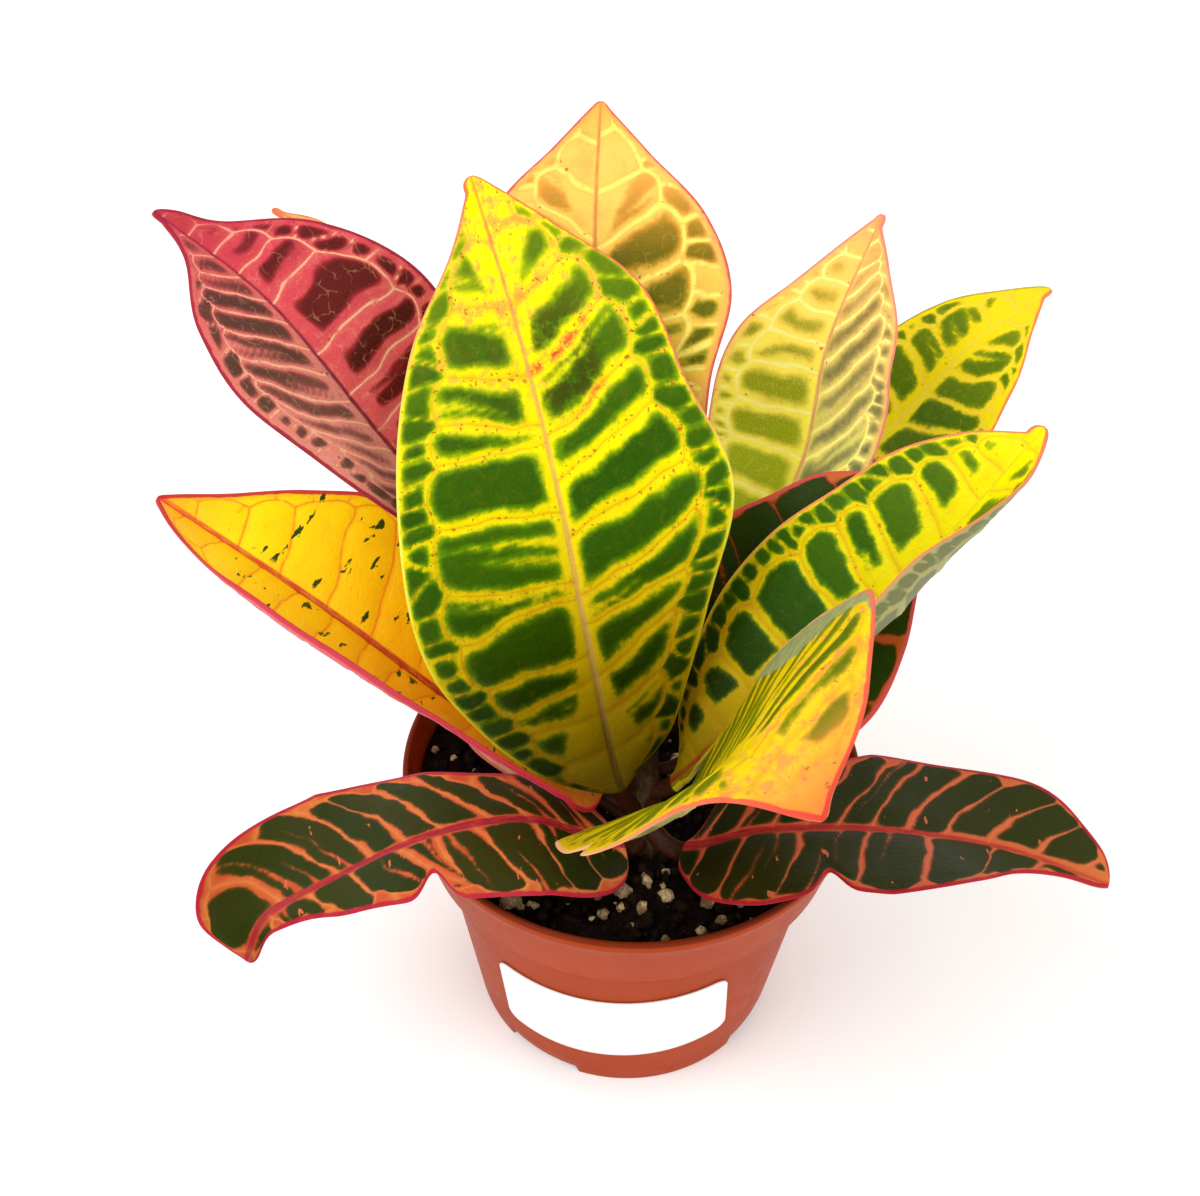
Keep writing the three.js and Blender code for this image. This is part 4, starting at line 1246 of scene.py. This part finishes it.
        "line": "#d85030", "lines": 0.5, "midrib": "#d05040", "rim": "#c83c40", "spots": 0.1,
        "spot_color": "#b04030",
    },
    "low_pale_leaf": {
        "band": [(0, "#d8b888"), (1, "#e8c498")], "cell": [(0, "#3c4c20"), (1, "#4c5c2c")],
        "cell_edge": "#98906c",
        "line": "#e0b090", "lines": 0.5, "midrib": "#d89080", "rim": "#d86a68", "spots": 0.1,
        "spot_color": "#b06048",
    },
    "back_leaf": {"band": YELLOW, "midrib": [(0, "#a05030"), (1, "#e0b040")], "rim": "#d86a40", **BACK_LEAF},
    "back_left_leaf": {
        "band": [(0, "#8a7404"), (0.4, "#dcc418"), (1, "#f0c020")],
        "midrib": [(0, "#a04030"), (1, "#e09040")],
        "rim": "#d85a40", **BACK_LEAF,
    },
}
PLAIN_PAINT = {
    "softness": 1, "raggedness": 1, "line_width": 0.34, "fleck_color": "#2c4404", "midrib_width": 0.7,
    "midrib_share": 0.9, "rim_width": 0.5, "under_band": "#d8cc88", "under_cell": "#7c8450", "gloss": 0.06,
}
STAIN_COLOR = "#e8502c"
SCORCHED_COLOR = "#3c2c0c"
TURNED_PALE = "#a8a868"
# The stalks' own red-brown, made darker still as painted shade of the leaves over them.
SHADED_STALK_COLOR = [(0, "#220e06"), (1, "#42200f")]
LEAF_ROUGHNESS = (0.3, 0.48)
FIELDS = (
    "cell", "vein", "pitch", "reach", "loop", "border", "edge", "rib", "span", "side", "tint", "under",
    "stalk",
)


class LeafShader(Shader):
    """Lays a leaf's colours over each other, from the blotches up, out of the fields on its mesh."""

    def __init__(self, name, paint):
        super().__init__(name)
        self.paint = {**PLAIN_PAINT, **paint}
        for key in FIELDS:
            setattr(self, key, self.attribute(key))
        self.place = self.attribute("place", "Vector")
        self.medium = self.noise(self.place, 0.42, 3)
        self.fine = self.noise(self.place, 0.95, 4, 0.65)
        self.find_veins()

    def color_of(self, key):
        """An entry of the paint along the blade, which may differ between its two halves."""
        if key in self.paint:
            return self.ramp(self.span, self.paint[key])
        left, right = (self.ramp(self.span, self.paint[key + half]) for half in ("_left", "_right"))
        return self.mix(self.side, left, right)

    def find_veins(self):
        """How far the nearest vein is, how deep in a blotch a place lies, and where the margin is."""
        beyond = self.math("GREATER_THAN", self.loop, 0)
        across = self.times(self.math("PINGPONG", self.vein, 0.5), self.pitch)
        lateral = self.total(across, (beyond, FAR))
        marginal = self.total(self.border, FAR, (beyond, -FAR))
        self.net = self.least(lateral, marginal, self.math("ABSOLUTE", self.loop))
        cell = self.least(self.cell, self.total(lateral, (self.reach, -1)))
        rough = self.paint["raggedness"]
        self.depth = self.total(cell, -1.2 * rough, (self.medium, 1.5 * rough), (self.fine, 0.9 * rough))
        soft = self.paint["softness"]
        self.blotch = self.step(-0.6 * soft, 0.3 * soft, self.depth)
        width = self.paint["line_width"]
        self.fine_line = self.step(width, 0.2 * width, self.net)
        ragged_edge = self.total(self.edge, 0.45, (self.medium, -0.9))
        self.rim = self.step(self.paint["rim_width"] + 0.3, self.paint["rim_width"] - 0.15, ragged_edge)

    def blotches(self):
        """The bands along the veins, and between them the blotches with their soft edges."""
        bands = self.color_of("band")
        if "warmth" in self.paint:
            clouded = self.step(0.45, 0.75, self.noise(self.place, 0.22, 3))
            warm = self.total((clouded, 0.4), (self.step(1.2, 0, self.net), 0.4))
            bands = self.over(bands, warm, self.color_of("warmth"))
        edges = self.color_of("cell_edge")
        cells = self.over(self.color_of("cell"), self.total((self.medium, 0.16), (self.tint, 0.16)), edges)
        grain = self.step(0.56, 0.70, self.noise(self.place, 1.7, 3, 0.7))
        cells = self.over(cells, (grain, 0.14), edges)
        color = self.over(bands, self.blotch, edges)
        color = self.over(color, self.step(-0.35, 0.9 * self.paint["softness"], self.depth), cells)
        if "grains" in self.paint:
            dust = self.step(0.52, 0.62, self.noise(self.place, 2.4, 3, 0.8))
            color = self.over(color, (dust, self.paint["grains"]), edges)
        return color

    def veinlets(self, color):
        """A faint net of the finest veins, in places."""
        bent = self.moved(self.place, self.scaled(self.noise(self.place, 0.3, 2, output="Color"), 5))
        net = self.step(0.06, 0.0, self.cells(bent, 0.26, feature="DISTANCE_TO_EDGE"))
        here = self.step(0.42, 0.6, self.medium)
        return self.over(color, (net, here, self.paint["veinlets"]), self.color_of("line"))

    def mottle(self, color):
        """Clouds of another colour towards the tip."""
        clouds = self.step(0.48, 0.62, self.noise(self.place, 0.3, 4, 0.7))
        between = self.total(0.65, (self.blotch, -0.6))
        return self.over(color, (clouds, self.step(0.55, 0.85, self.span), between), self.paint["mottle"])

    def blush(self, color):
        """A warmer colour near the margin."""
        near_edge = self.step(4.5, 0.2, self.total(self.edge, (self.medium, 3)))
        return self.over(color, (near_edge, 0.85), self.color_of("blush"))

    def lines(self, color):
        """The fine line along each side vein and loop vein."""
        uneven = self.step(0.2, 0.5, self.noise(self.place, 0.4, 2))
        inner = self.step(0.8, 2.4, self.edge)
        return self.over(color, (self.fine_line, uneven, inner, self.paint["lines"]), self.color_of("line"))

    def flecks(self, color):
        """Short flecks that run across the blade, clear of the midrib and the tip."""
        rarity = 0.72 - 0.2 * self.paint["flecks"]
        long_noise = self.noise(self.stretched(self.place, (0.42, 0.17, 1)), 1.0, 3)
        fleck = self.step(rarity, rarity + 0.03, long_noise)
        off_midrib = self.step(1.5, 3, self.rib)
        off_tip = self.step(0.9, 0.8, self.span)
        return self.over(color, (fleck, off_midrib, off_tip), self.paint["fleck_color"])

    def stain(self, color):
        """A patch near the tip, red on the veins and scorched between them."""
        across = self.times(self.total(0.3, (self.side, 0.7)), self.step(15, 11, self.rib))
        along = self.times(self.step(0.62, 0.68, self.span), self.step(0.86, 0.76, self.span))
        patchy = self.step(0.4, 0.55, self.noise(self.place, 0.35, 4, 0.7))
        patch = self.times(across, along, patchy, self.paint["stain"])
        on_vein = self.step(2.4, 0.8, self.total(self.net, (self.fine, 1.5)))
        color = self.over(color, (patch, on_vein), STAIN_COLOR)
        return self.over(color, (patch, self.blotch, 0.7), SCORCHED_COLOR)

    def spots(self, color):
        """Small rusty dots beside the veins, in two sizes."""
        by_vein = self.times(self.step(1.1, -0.2, self.depth), self.step(2.2, 0.8, self.net))
        off_base = self.step(0.2, 0.5, self.span)
        uneven = self.moved(self.place, self.scaled(self.noise(self.place, 1.1, 2, output="Color"), 1.6))
        for scale, size, rarity in ((0.8, 0.2, 0.5), (0.42, 0.17, 0.35)):
            dots = self.step(size, 0.5 * size, self.cells(uneven, scale))
            rare = 0.9 - self.paint["spots"] * rarity
            chance = self.step(rare, rare + 0.02, self.cells(uneven, scale, output="Color"))
            color = self.over(color, (dots, chance, by_vein, off_base, 0.75), self.paint["spot_color"])
        return color

    def midrib(self, color):
        """The midrib, which narrows to the tip and is worn along its length."""
        half_width = self.total(self.paint["midrib_width"] + 0.1, (self.span, -0.5))
        share = self.step(-0.25, 0.2, self.total(half_width, (self.rib, -1)))
        worn = self.step(0.75, 0.35, self.noise(self.stretched(self.place, (0.25, 1.2, 1)), 1.0, 3))
        strength = self.total(self.paint["midrib_share"] - 0.3, (worn, 0.35))
        return self.over(color, (share, strength), self.color_of("midrib"))

    def turned_edge(self, color):
        """On the left half, the margin that is turned over and shows its underside."""
        widening = self.times(self.step(0.25, 0.6, self.span), self.step(0.9, 0.62, self.span))
        widening = self.times(widening, self.total(1, (self.side, -1)))
        turned = self.step(0.3, -0.3, self.total(self.edge, (widening, -9), (self.medium, 1.2)))
        mottled = self.ramp(self.medium, [(0.35, self.paint["turned_edge"]), (0.7, TURNED_PALE)])
        return self.over(color, turned, mottled)

    def underside(self):
        """The paler back of the leaf, on which the blotches show through."""
        bands = self.ramp(self.span, self.paint["under_band"])
        color = self.over(bands, (self.blotch, 0.75), self.ramp(self.span, self.paint["under_cell"]))
        color = self.over(color, (self.fine_line, 0.35), bands)
        return self.over(color, (self.rim, 0.7), self.color_of("rim"))

    def build(self):
        layers = {
            "veinlets": self.veinlets, "mottle": self.mottle, "blush": self.blush, "lines": self.lines,
            "flecks": self.flecks, "stain": self.stain, "spots": self.spots, "midrib": self.midrib,
            "turned_edge": self.turned_edge,
        }
        color = self.blotches()
        for key, laid_over in layers.items():
            if key in self.paint:
                color = laid_over(color)
        color = self.over(color, (self.rim, 0.92), self.color_of("rim"))
        color = self.over(color, self.under, self.underside())
        # The stalk, in its red-brown darkened by painted shade.
        color = self.over(color, self.stalk, self.ramp(self.fine, SHADED_STALK_COLOR))
        # Painted light: the leaf glows faintly in its own colours, standing in for light that shines through
        # the blade from behind.
        if "painted_backlight" in self.paint:
            self.feed(self.surface.inputs["Emission Color"], color)
            self.surface.inputs["Emission Strength"].default_value = self.paint["painted_backlight"]
        low, high = LEAF_ROUGHNESS
        roughness = self.total(low, (self.fine, high - low))
        small_net = self.step(0.0, 0.16, self.cells(self.place, 0.55, feature="DISTANCE_TO_EDGE"))
        skin = self.total((small_net, 0.7), (self.noise(self.place, 3.2, 2), 0.5))
        return self.finish(color, roughness, self.paint["gloss"], self.bump(skin, 0.07, 0.6))


def leaves():
    for index, (name, shape) in enumerate(SHAPES.items()):
        veins = {**PLAIN_VEINS, **VEINS[name]}
        mesh = leaf_mesh(name + "_fine", shape, veins, LEAF_SEED + LEAF_SEED_STEP * index)
        add_piece(mesh, name, LeafShader(name + "_skin", PAINTS[name]).build())


# Pot, label, soil and stem
WALL_SLOPE = (WALL_TOP_R - BASE_R) / (POT_H - COLLAR_H)
COLLAR_Z = POT_H - COLLAR_H
AXIS_R = 0.01  # radius of the first and last ring of a turned body, before they are drawn to a point
FLOOR_TOP = FLOOR_Z + FLOOR
LIP_INNER_R = RIM_R - LIP
COLLAR_INNER_R = COLLAR_FOOT_R - WALL


def wall_radius(z):
    return BASE_R + WALL_SLOPE * z


def ring_faces(rows, columns):
    """Quads of a grid whose last column joins its first."""
    here = np.arange((rows - 1) * columns)
    after = here - here % columns + (here + 1) % columns
    return np.stack([here, after, after + columns, here + columns], axis=1)


def turned_points(profile, columns):
    """Points of a body of revolution: rows of the profile, columns round the axis."""
    profile = np.array(profile, float)
    turn = np.linspace(0, 2 * math.pi, columns, endpoint=False)
    r, z = profile[:, 0][:, None], profile[:, 1][:, None]
    return np.stack(np.broadcast_arrays(r * np.cos(turn), r * np.sin(turn), z), axis=-1)


def turned_mesh(name, points):
    """A closed mesh of rings of points. The first and the last ring are each drawn together to one point."""
    rows, columns = points.shape[:2]
    mesh = mesh_of(name, points.reshape(-1, 3) * MM, ring_faces(rows, columns))
    edit = bmesh.new()
    edit.from_mesh(mesh)
    ends = edit.verts[:columns] + edit.verts[-columns:]
    bmesh.ops.remove_doubles(edit, verts=ends, dist=2.5 * AXIS_R * MM)
    edit.to_mesh(mesh)
    edit.free()
    return mesh


def arc(center_r, center_z, radius, start, end, steps=5):
    """Profile points on a quarter round, between two angles in degrees."""
    angles = np.radians(np.linspace(start, end, steps))
    return [(center_r + radius * math.cos(a), center_z + radius * math.sin(a)) for a in angles]


def straight(start, end, steps):
    """Profile points from start towards end, without the end."""
    shares = np.linspace(0, 1, steps, endpoint=False)
    return [(start[0] + (end[0] - start[0]) * t, start[1] + (end[1] - start[1]) * t) for t in shares]


def pot_profile():
    """The pot's section, up the outside and down the inside, as a closed loop."""
    foot = 0.4
    step = 0.7
    rim = LIP / 2 - 0.02
    outside = [(AXIS_R, FLOOR_Z)]
    outside += straight((BASE_R - FOOT_WIDTH - 0.3, FLOOR_Z), (BASE_R - FOOT_WIDTH, FLOOR_Z - 0.3), 2)
    outside += arc(BASE_R - FOOT_WIDTH + foot, foot, foot, 180, 270)
    outside += arc(BASE_R - foot, foot, foot, 270, 360)
    outside += straight((wall_radius(1), 1), (wall_radius(COLLAR_Z - 0.8), COLLAR_Z - 0.8), 12)
    outside += arc(WALL_TOP_R + 0.3, COLLAR_Z - 0.5, 0.5, 180, 90)
    outside += arc(COLLAR_FOOT_R - step, COLLAR_Z + step, step, 270, 358)
    outside += straight((COLLAR_FOOT_R + 0.15, COLLAR_Z + 1.5), (RIM_R - 0.55, POT_H - 2.6), 6)
    outside += arc(RIM_R - 0.5, POT_H - 2.0, 0.5, -80, 0)
    outside += arc(RIM_R - rim, POT_H - rim, rim, 10, 170, 7)
    inside = straight((LIP_INNER_R, POT_H - 1.2), (COLLAR_INNER_R, COLLAR_Z + WALL), 6)
    inside += straight((COLLAR_INNER_R, COLLAR_Z + WALL), (WALL_TOP_R - WALL, COLLAR_Z - WALL), 3)
    inside += straight((WALL_TOP_R - WALL, COLLAR_Z - WALL), (wall_radius(FLOOR_TOP) - WALL, FLOOR_TOP), 6)
    inside += [(wall_radius(FLOOR_TOP) - WALL, FLOOR_TOP), (AXIS_R, FLOOR_TOP)]
    return outside + inside


def in_foot_gap(turn_degrees):
    spacing = 360 / FEET
    past = (turn_degrees - FIRST_GAP_AT + spacing / 2) % spacing - spacing / 2
    return abs(past) < FOOT_GAP_ARC / 2


def pot():
    """The moulded pot. Between its feet the base ring stops short of the ground."""
    profile = pot_profile()
    points = turned_points(profile, POT_COLUMNS)
    for k in range(POT_COLUMNS):
        if in_foot_gap(math.degrees(2 * math.pi * k / POT_COLUMNS)):
            low = points[:, k, 2] < FOOT_GAP_H
            lifted = FOOT_GAP_H + LIFTED_RISE * points[:, k, 2] / FOOT_GAP_H
            points[:, k, 2] = np.where(low, lifted, points[:, k, 2])
    mesh = turned_mesh("pot_shell", points)
    cut_drain_holes(mesh)
    add_piece(mesh, "pot", pot_material())


def cut_drain_holes(mesh):
    pot_object = placed("pot_cut", mesh)
    low, high = FLOOR_Z - 1.5, FLOOR_TOP + 1.5
    rod = turned_points([(AXIS_R, low), (DRAIN_HOLE_R, low), (DRAIN_HOLE_R, high), (AXIS_R, high)], 48)
    for k in range(DRAIN_HOLES):
        turn = math.radians(FIRST_DRAIN_AT + k * 360 / DRAIN_HOLES)
        at = np.array([DRAIN_RING_R * math.cos(turn), DRAIN_RING_R * math.sin(turn), 0])
        tool = placed("drain", turned_mesh("drain", rod + at))
        cut = pot_object.modifiers.new("cut", "BOOLEAN")
        cut.operation = "DIFFERENCE"
        cut.solver = "EXACT"
        cut.object = tool
        bpy.context.view_layer.objects.active = pot_object
        bpy.ops.object.modifier_apply(modifier=cut.name)
        bpy.data.objects.remove(tool)
    bpy.data.objects.remove(pot_object)


def pot_material():
    """Moulded plastic: an even colour, faint flow marks and scuffs, a soft sheen, and painted shade along the
    top of the rim.
    """
    shader = Shader("pot_plastic")
    place = shader.position()
    cloud = shader.noise(place, 0.035, 3)
    color = shader.ramp(cloud, [(0.3, "#a03808"), (0.55, "#a63b0c"), (0.75, "#ac4012")])
    flow = shader.noise(shader.stretched(place, (0.05, 0.05, 0.9)), 1.0, 2)
    color = shader.over(color, (shader.step(0.62, 0.8, flow), 0.25), "#94300a")
    dust = shader.noise(place, 0.8, 4, 0.7)
    color = shader.over(color, (shader.step(0.66, 0.8, dust), 0.12), "#c87050")
    # Painted shade: the top of the rim is darkened to hold down the light its lip catches from the lamps
    # above.
    painted_rim_shade = shader.step(POT_H - 0.9, POT_H - 0.3, shader.height(place))
    color = shader.over(color, (painted_rim_shade, 0.75), "#5c1c06")
    roughness = shader.total(0.34, (shader.noise(place, 0.25, 3), 0.22))
    return shader.finish(color, roughness, 0.09, shader.bump(shader.noise(place, 1.1, 3), 0.05, 0.5))


def label():
    """A blank sticker. Flat paper lies on the cone of the wall without stretching."""
    half_angle = math.atan(WALL_SLOPE)
    apex_z = -BASE_R / WALL_SLOPE
    to_label = (LABEL_Z - apex_z) / math.cos(half_angle)
    u = -np.cos(np.linspace(0, math.pi, LABEL_COLUMNS + 1)) * LABEL_WIDTH / 2
    past = np.maximum(0, np.abs(u) - (LABEL_WIDTH / 2 - LABEL_CORNER_R))
    cut = LABEL_CORNER_R - np.sqrt(np.maximum(0, LABEL_CORNER_R**2 - past**2))
    v = np.linspace(-1, 1, LABEL_ROWS + 1)[None, :] * (LABEL_HEIGHT / 2 - cut)[:, None]
    tilt = math.radians(LABEL_TILT)
    along = u[:, None] * math.cos(tilt) - v * math.sin(tilt)
    up = u[:, None] * math.sin(tilt) + v * math.cos(tilt) + to_label
    turn = np.arctan2(along, up) / math.sin(half_angle) + math.radians(LABEL_AT)
    z = apex_z + np.hypot(along, up) * math.cos(half_angle)

    def sheet(off):
        r = wall_radius(z) + off
        return np.stack([r * np.cos(turn), r * np.sin(turn), z], axis=-1)

    paper = slab("label_paper", sheet(LABEL_OFF_WALL + LABEL_THICKNESS), sheet(LABEL_OFF_WALL))
    add_piece(paper, "label", label_material())


def slab(name, top, bottom):
    """A closed sheet between two grids of points."""
    rows, columns = top.shape[:2]
    count = rows * columns
    i, j = np.divmod(np.arange((rows - 1) * (columns - 1)), columns - 1)
    corner = i * columns + j
    quads = np.stack([corner, corner + columns, corner + columns + 1, corner + 1], axis=1)
    rim_i, rim_j = rim_of(rows, columns)
    here = rim_i * columns + rim_j
    after = np.roll(here, -1)
    rim_quads = np.stack([here, after, after + count, here + count], axis=1)
    points = np.concatenate([top.reshape(-1, 3), bottom.reshape(-1, 3)]) * MM
    return mesh_of(name, points, np.concatenate([quads, quads[:, ::-1] + count, rim_quads]))


def label_material():
    shader = Shader("label_paper")
    fibre = shader.noise(shader.position(), 1.4, 4, 0.7)
    color = shader.ramp(fibre, [(0.3, "#f3f3f1"), (0.7, "#fbfbfa")])
    return shader.finish(color, 0.55, 0.5, shader.bump(fibre, 0.03, 0.4))


def soil_edge_radius():
    """How wide the soil is at its upper edge, where it almost touches the pot's sloping collar."""
    up = (SOIL_EDGE_Z - COLLAR_Z - WALL) / (POT_H - 0.5 - COLLAR_Z - WALL)
    return COLLAR_INNER_R + (LIP_INNER_R - COLLAR_INNER_R) * up - SOIL_GAP


def soil():
    """Dark peat with clods, on which loose crumbs and perlite grains lie."""
    edge_r = soil_edge_radius()
    body = [
        (AXIS_R, FLOOR_TOP + SOIL_GAP),
        (wall_radius(FLOOR_TOP) - WALL - SOIL_GAP, FLOOR_TOP + SOIL_GAP),
        (WALL_TOP_R - WALL - SOIL_GAP, COLLAR_Z - WALL),
        (COLLAR_INNER_R - SOIL_GAP, COLLAR_Z + WALL),
    ]
    shares = np.linspace(1, 0, SOIL_RINGS)
    profile = body + [(max(edge_r * t, AXIS_R), SOIL_EDGE_Z + SOIL_CROWN * (1 - t * t)) for t in shares]
    points = turned_points(profile, SOIL_COLUMNS)
    top = points[len(body):]
    top[..., 2] += soil_bumps(top[..., 0], top[..., 1]) * smoothstep(0, 0.06, 1 - shares)[:, None]
    add_piece(turned_mesh("soil_bed", points), "soil", soil_material("peat", "#070403", "#20140f"))

    random = np.random.default_rng(SOIL_SEED)
    grains("soil_crumbs", random, CRUMBS, CRUMB_SIZES, edge_r, soil_material("crumbs", "#060303", "#2c1d15"))
    grains("perlite_grains", random, PERLITE, PERLITE_SIZES, edge_r, perlite_material())


def soil_bumps(x, y):
    """Height of the soil's surface over its even form."""
    rough = Ripple(SOIL_SEED)
    clods = Ripple(SOIL_SEED + 1)
    lumps = LUMP_H * rough(x, y, LUMP_SIZE) + CLOD_H * clods(x, y, CLOD_SIZE)
    return lumps + PELLET_H * rough(x + 40, y, PELLET_SIZE) - SOIL_SETTLED


def grains(name, random, count, sizes, edge_r, material):
    """Irregular lumps scattered on the soil, clear of the pot's wall."""
    base, faces = icosphere(2)
    points, all_faces = [], []
    shape = Ripple(SOIL_SEED + 7)
    smallest, largest = sizes
    for index in range(count):
        size = smallest + (largest - smallest) * random.random() ** 2
        r = (edge_r - size - 0.5) * math.sqrt(random.random())
        turn = 2 * math.pi * random.random()
        stretch = 0.7 + 0.6 * random.random(3)
        bumps = 1 + 0.28 * shape(base[:, 0] * 3 + index, base[:, 1] * 3 + 2 * base[:, 2], 1.0)
        lump = base * stretch * size * bumps[:, None]
        lift = SOIL_EDGE_Z + SOIL_CROWN * (1 - (r / edge_r) ** 2) + 0.25 * size
        points.append(lump + np.array([r * math.cos(turn), r * math.sin(turn), lift]))
        all_faces.append(faces + index * len(base))
    mesh = mesh_of(name, np.concatenate(points) * MM, np.concatenate(all_faces))
    add_piece(mesh, None, material, slot="soil")


def icosphere(levels):
    """Points and triangles of a ball of radius 1."""
    ball = bmesh.new()
    bmesh.ops.create_icosphere(ball, subdivisions=levels, radius=1)
    points = np.array([v.co[:] for v in ball.verts])
    faces = np.array([[v.index for v in f.verts] for f in ball.faces])
    ball.free()
    return points, faces


def soil_material(name, dark, pale):
    shader = Shader(name)
    place = shader.position()
    color = shader.ramp(shader.noise(place, 0.5, 4, 0.7), [(0.3, dark), (0.75, pale)])
    bark = shader.step(0.68, 0.76, shader.noise(place, 0.9, 2))
    color = shader.over(color, (bark, 0.5), "#5a4030")
    return shader.finish(color, 0.9, 0.05, shader.bump(shader.noise(place, 2.2, 4, 0.7), 0.3, 0.9))


def perlite_material():
    shader = Shader("perlite")
    place = shader.position()
    pores = shader.noise(place, 1.6, 3)
    color = shader.ramp(pores, [(0.3, "#7c5c30"), (0.5, "#bca070"), (0.75, "#ecdcb0")])
    stained = shader.step(0.38, 0.58, shader.noise(place, 0.22, 2))
    color = shader.over(color, (stained, 0.8), "#5c4020")
    return shader.finish(color, 0.85, 0.5, shader.bump(pores, 0.25, 0.8))


def stem():
    """A short woody stem with leaf scars round it."""
    middle, _ = stem_curve.at(np.linspace(0, stem_curve.spans, STEM_RINGS))
    bark = Ripple(STEM_SEED)
    t = np.linspace(0, 1, STEM_RINGS)[:, None]
    turn = np.linspace(0, 2 * math.pi, STEM_SIDES, endpoint=False)[None, :]
    height = middle[:, 2][:, None]
    scars = SCAR_H * np.maximum(0, np.cos(height * 2 * math.pi / SCAR_SPACING + turn)) ** 8
    ridges = BARK_H * bark(turn * 4 + height * 0, height, 1.4)
    r = STEM_FOOT_R + (STEM_TOP_R - STEM_FOOT_R) * t + scars - BARK_BASE + ridges
    r = np.where((t > 0) & (t < 1), r, AXIS_R)
    rings = np.stack(np.broadcast_arrays(r * np.cos(turn), r * np.sin(turn), 0 * r), axis=-1)
    add_piece(turned_mesh("stem_bark", middle[:, None, :] + rings), "stem", stem_material())


def stem_material():
    shader = Shader("bark")
    streaks = shader.noise(shader.stretched(shader.position(), (0.9, 0.9, 0.25)), 1.0, 4, 0.65)
    # Dark brown bark, made darker still as painted shade of the leaves above it.
    color = shader.ramp(streaks, [(0.3, "#2a1a0c"), (0.55, "#40301a"), (0.75, "#564222")])
    return shader.finish(color, 0.7, 0.1, shader.bump(streaks, 0.25, 0.7))


# Surroundings
def studio():
    """A pale floor, even white light from all round and two large soft lamps."""
    corners = [(x * FLOOR_REACH, y * FLOOR_REACH, 0) for x, y in ((-1, -1), (1, -1), (1, 1), (-1, 1))]
    floor = mesh_of("floor", corners, np.array([[0, 1, 2, 3]]))
    shader = Shader("floor_white")
    tone = shader.noise(shader.position(), 0.004, 2)
    shader.surface.inputs["Emission Color"].default_value = (1, 1, 1, 1)
    shader.surface.inputs["Emission Strength"].default_value = FLOOR_GLOW
    floor.materials.append(shader.finish(shader.ramp(tone, [(0.3, "#fbfaf9"), (0.7, "#fdfdfc")]), 0.9, 0))
    ground = placed("floor", floor)

    world = bpy.data.worlds.new("studio")
    bpy.context.scene.world = world
    world.use_nodes = True
    sky = world.node_tree.nodes["Background"].inputs
    sky["Color"].default_value = (1, 0.995, 0.985, 1)
    sky["Strength"].default_value = WORLD_LIGHT
    soft_lamp("key", KEY_AT, 0.5, KEY_POWER)
    soft_lamp("fill", FILL_AT, 0.8, FILL_POWER)


def soft_lamp(name, place, size, power):
    lamp = bpy.data.lights.new(name, "AREA")
    lamp.size = size
    lamp.energy = power
    holder = placed(name, lamp)
    holder.location = place
    aim = Vector(LAMPS_AIM) - Vector(place)
    holder.rotation_euler = aim.to_track_quat("-Z", "Y").to_euler()


def camera():
    """The photograph's viewpoint, worked out from the pot's ellipses."""
    pitch, yaw, roll = CAMERA_PITCH, CAMERA_YAW, CAMERA_ROLL
    ahead = Vector((math.sin(yaw) * math.cos(pitch), math.cos(yaw) * math.cos(pitch), -math.sin(pitch)))
    level = Vector((math.cos(yaw), -math.sin(yaw), 0))
    upright = level.cross(ahead)
    right = level * math.cos(roll) + upright * math.sin(roll)
    up = upright * math.cos(roll) - level * math.sin(roll)
    view = placed("camera", bpy.data.cameras.new("camera"))
    view.data.sensor_width = SENSOR_MM
    view.data.lens = FOCAL_PX * SENSOR_MM / PHOTO_W
    view.data.clip_start = 0.01
    turn = Matrix((right, up, -ahead)).transposed().to_4x4()
    view.matrix_world = Matrix.Translation(Vector(CAMERA_AT) * MM + pot_axis) @ turn
    bpy.context.scene.camera = view


leaves()
pot()
label()
soil()
stem()
studio()
camera()
bpy.context.scene.view_settings.view_transform = "Standard"
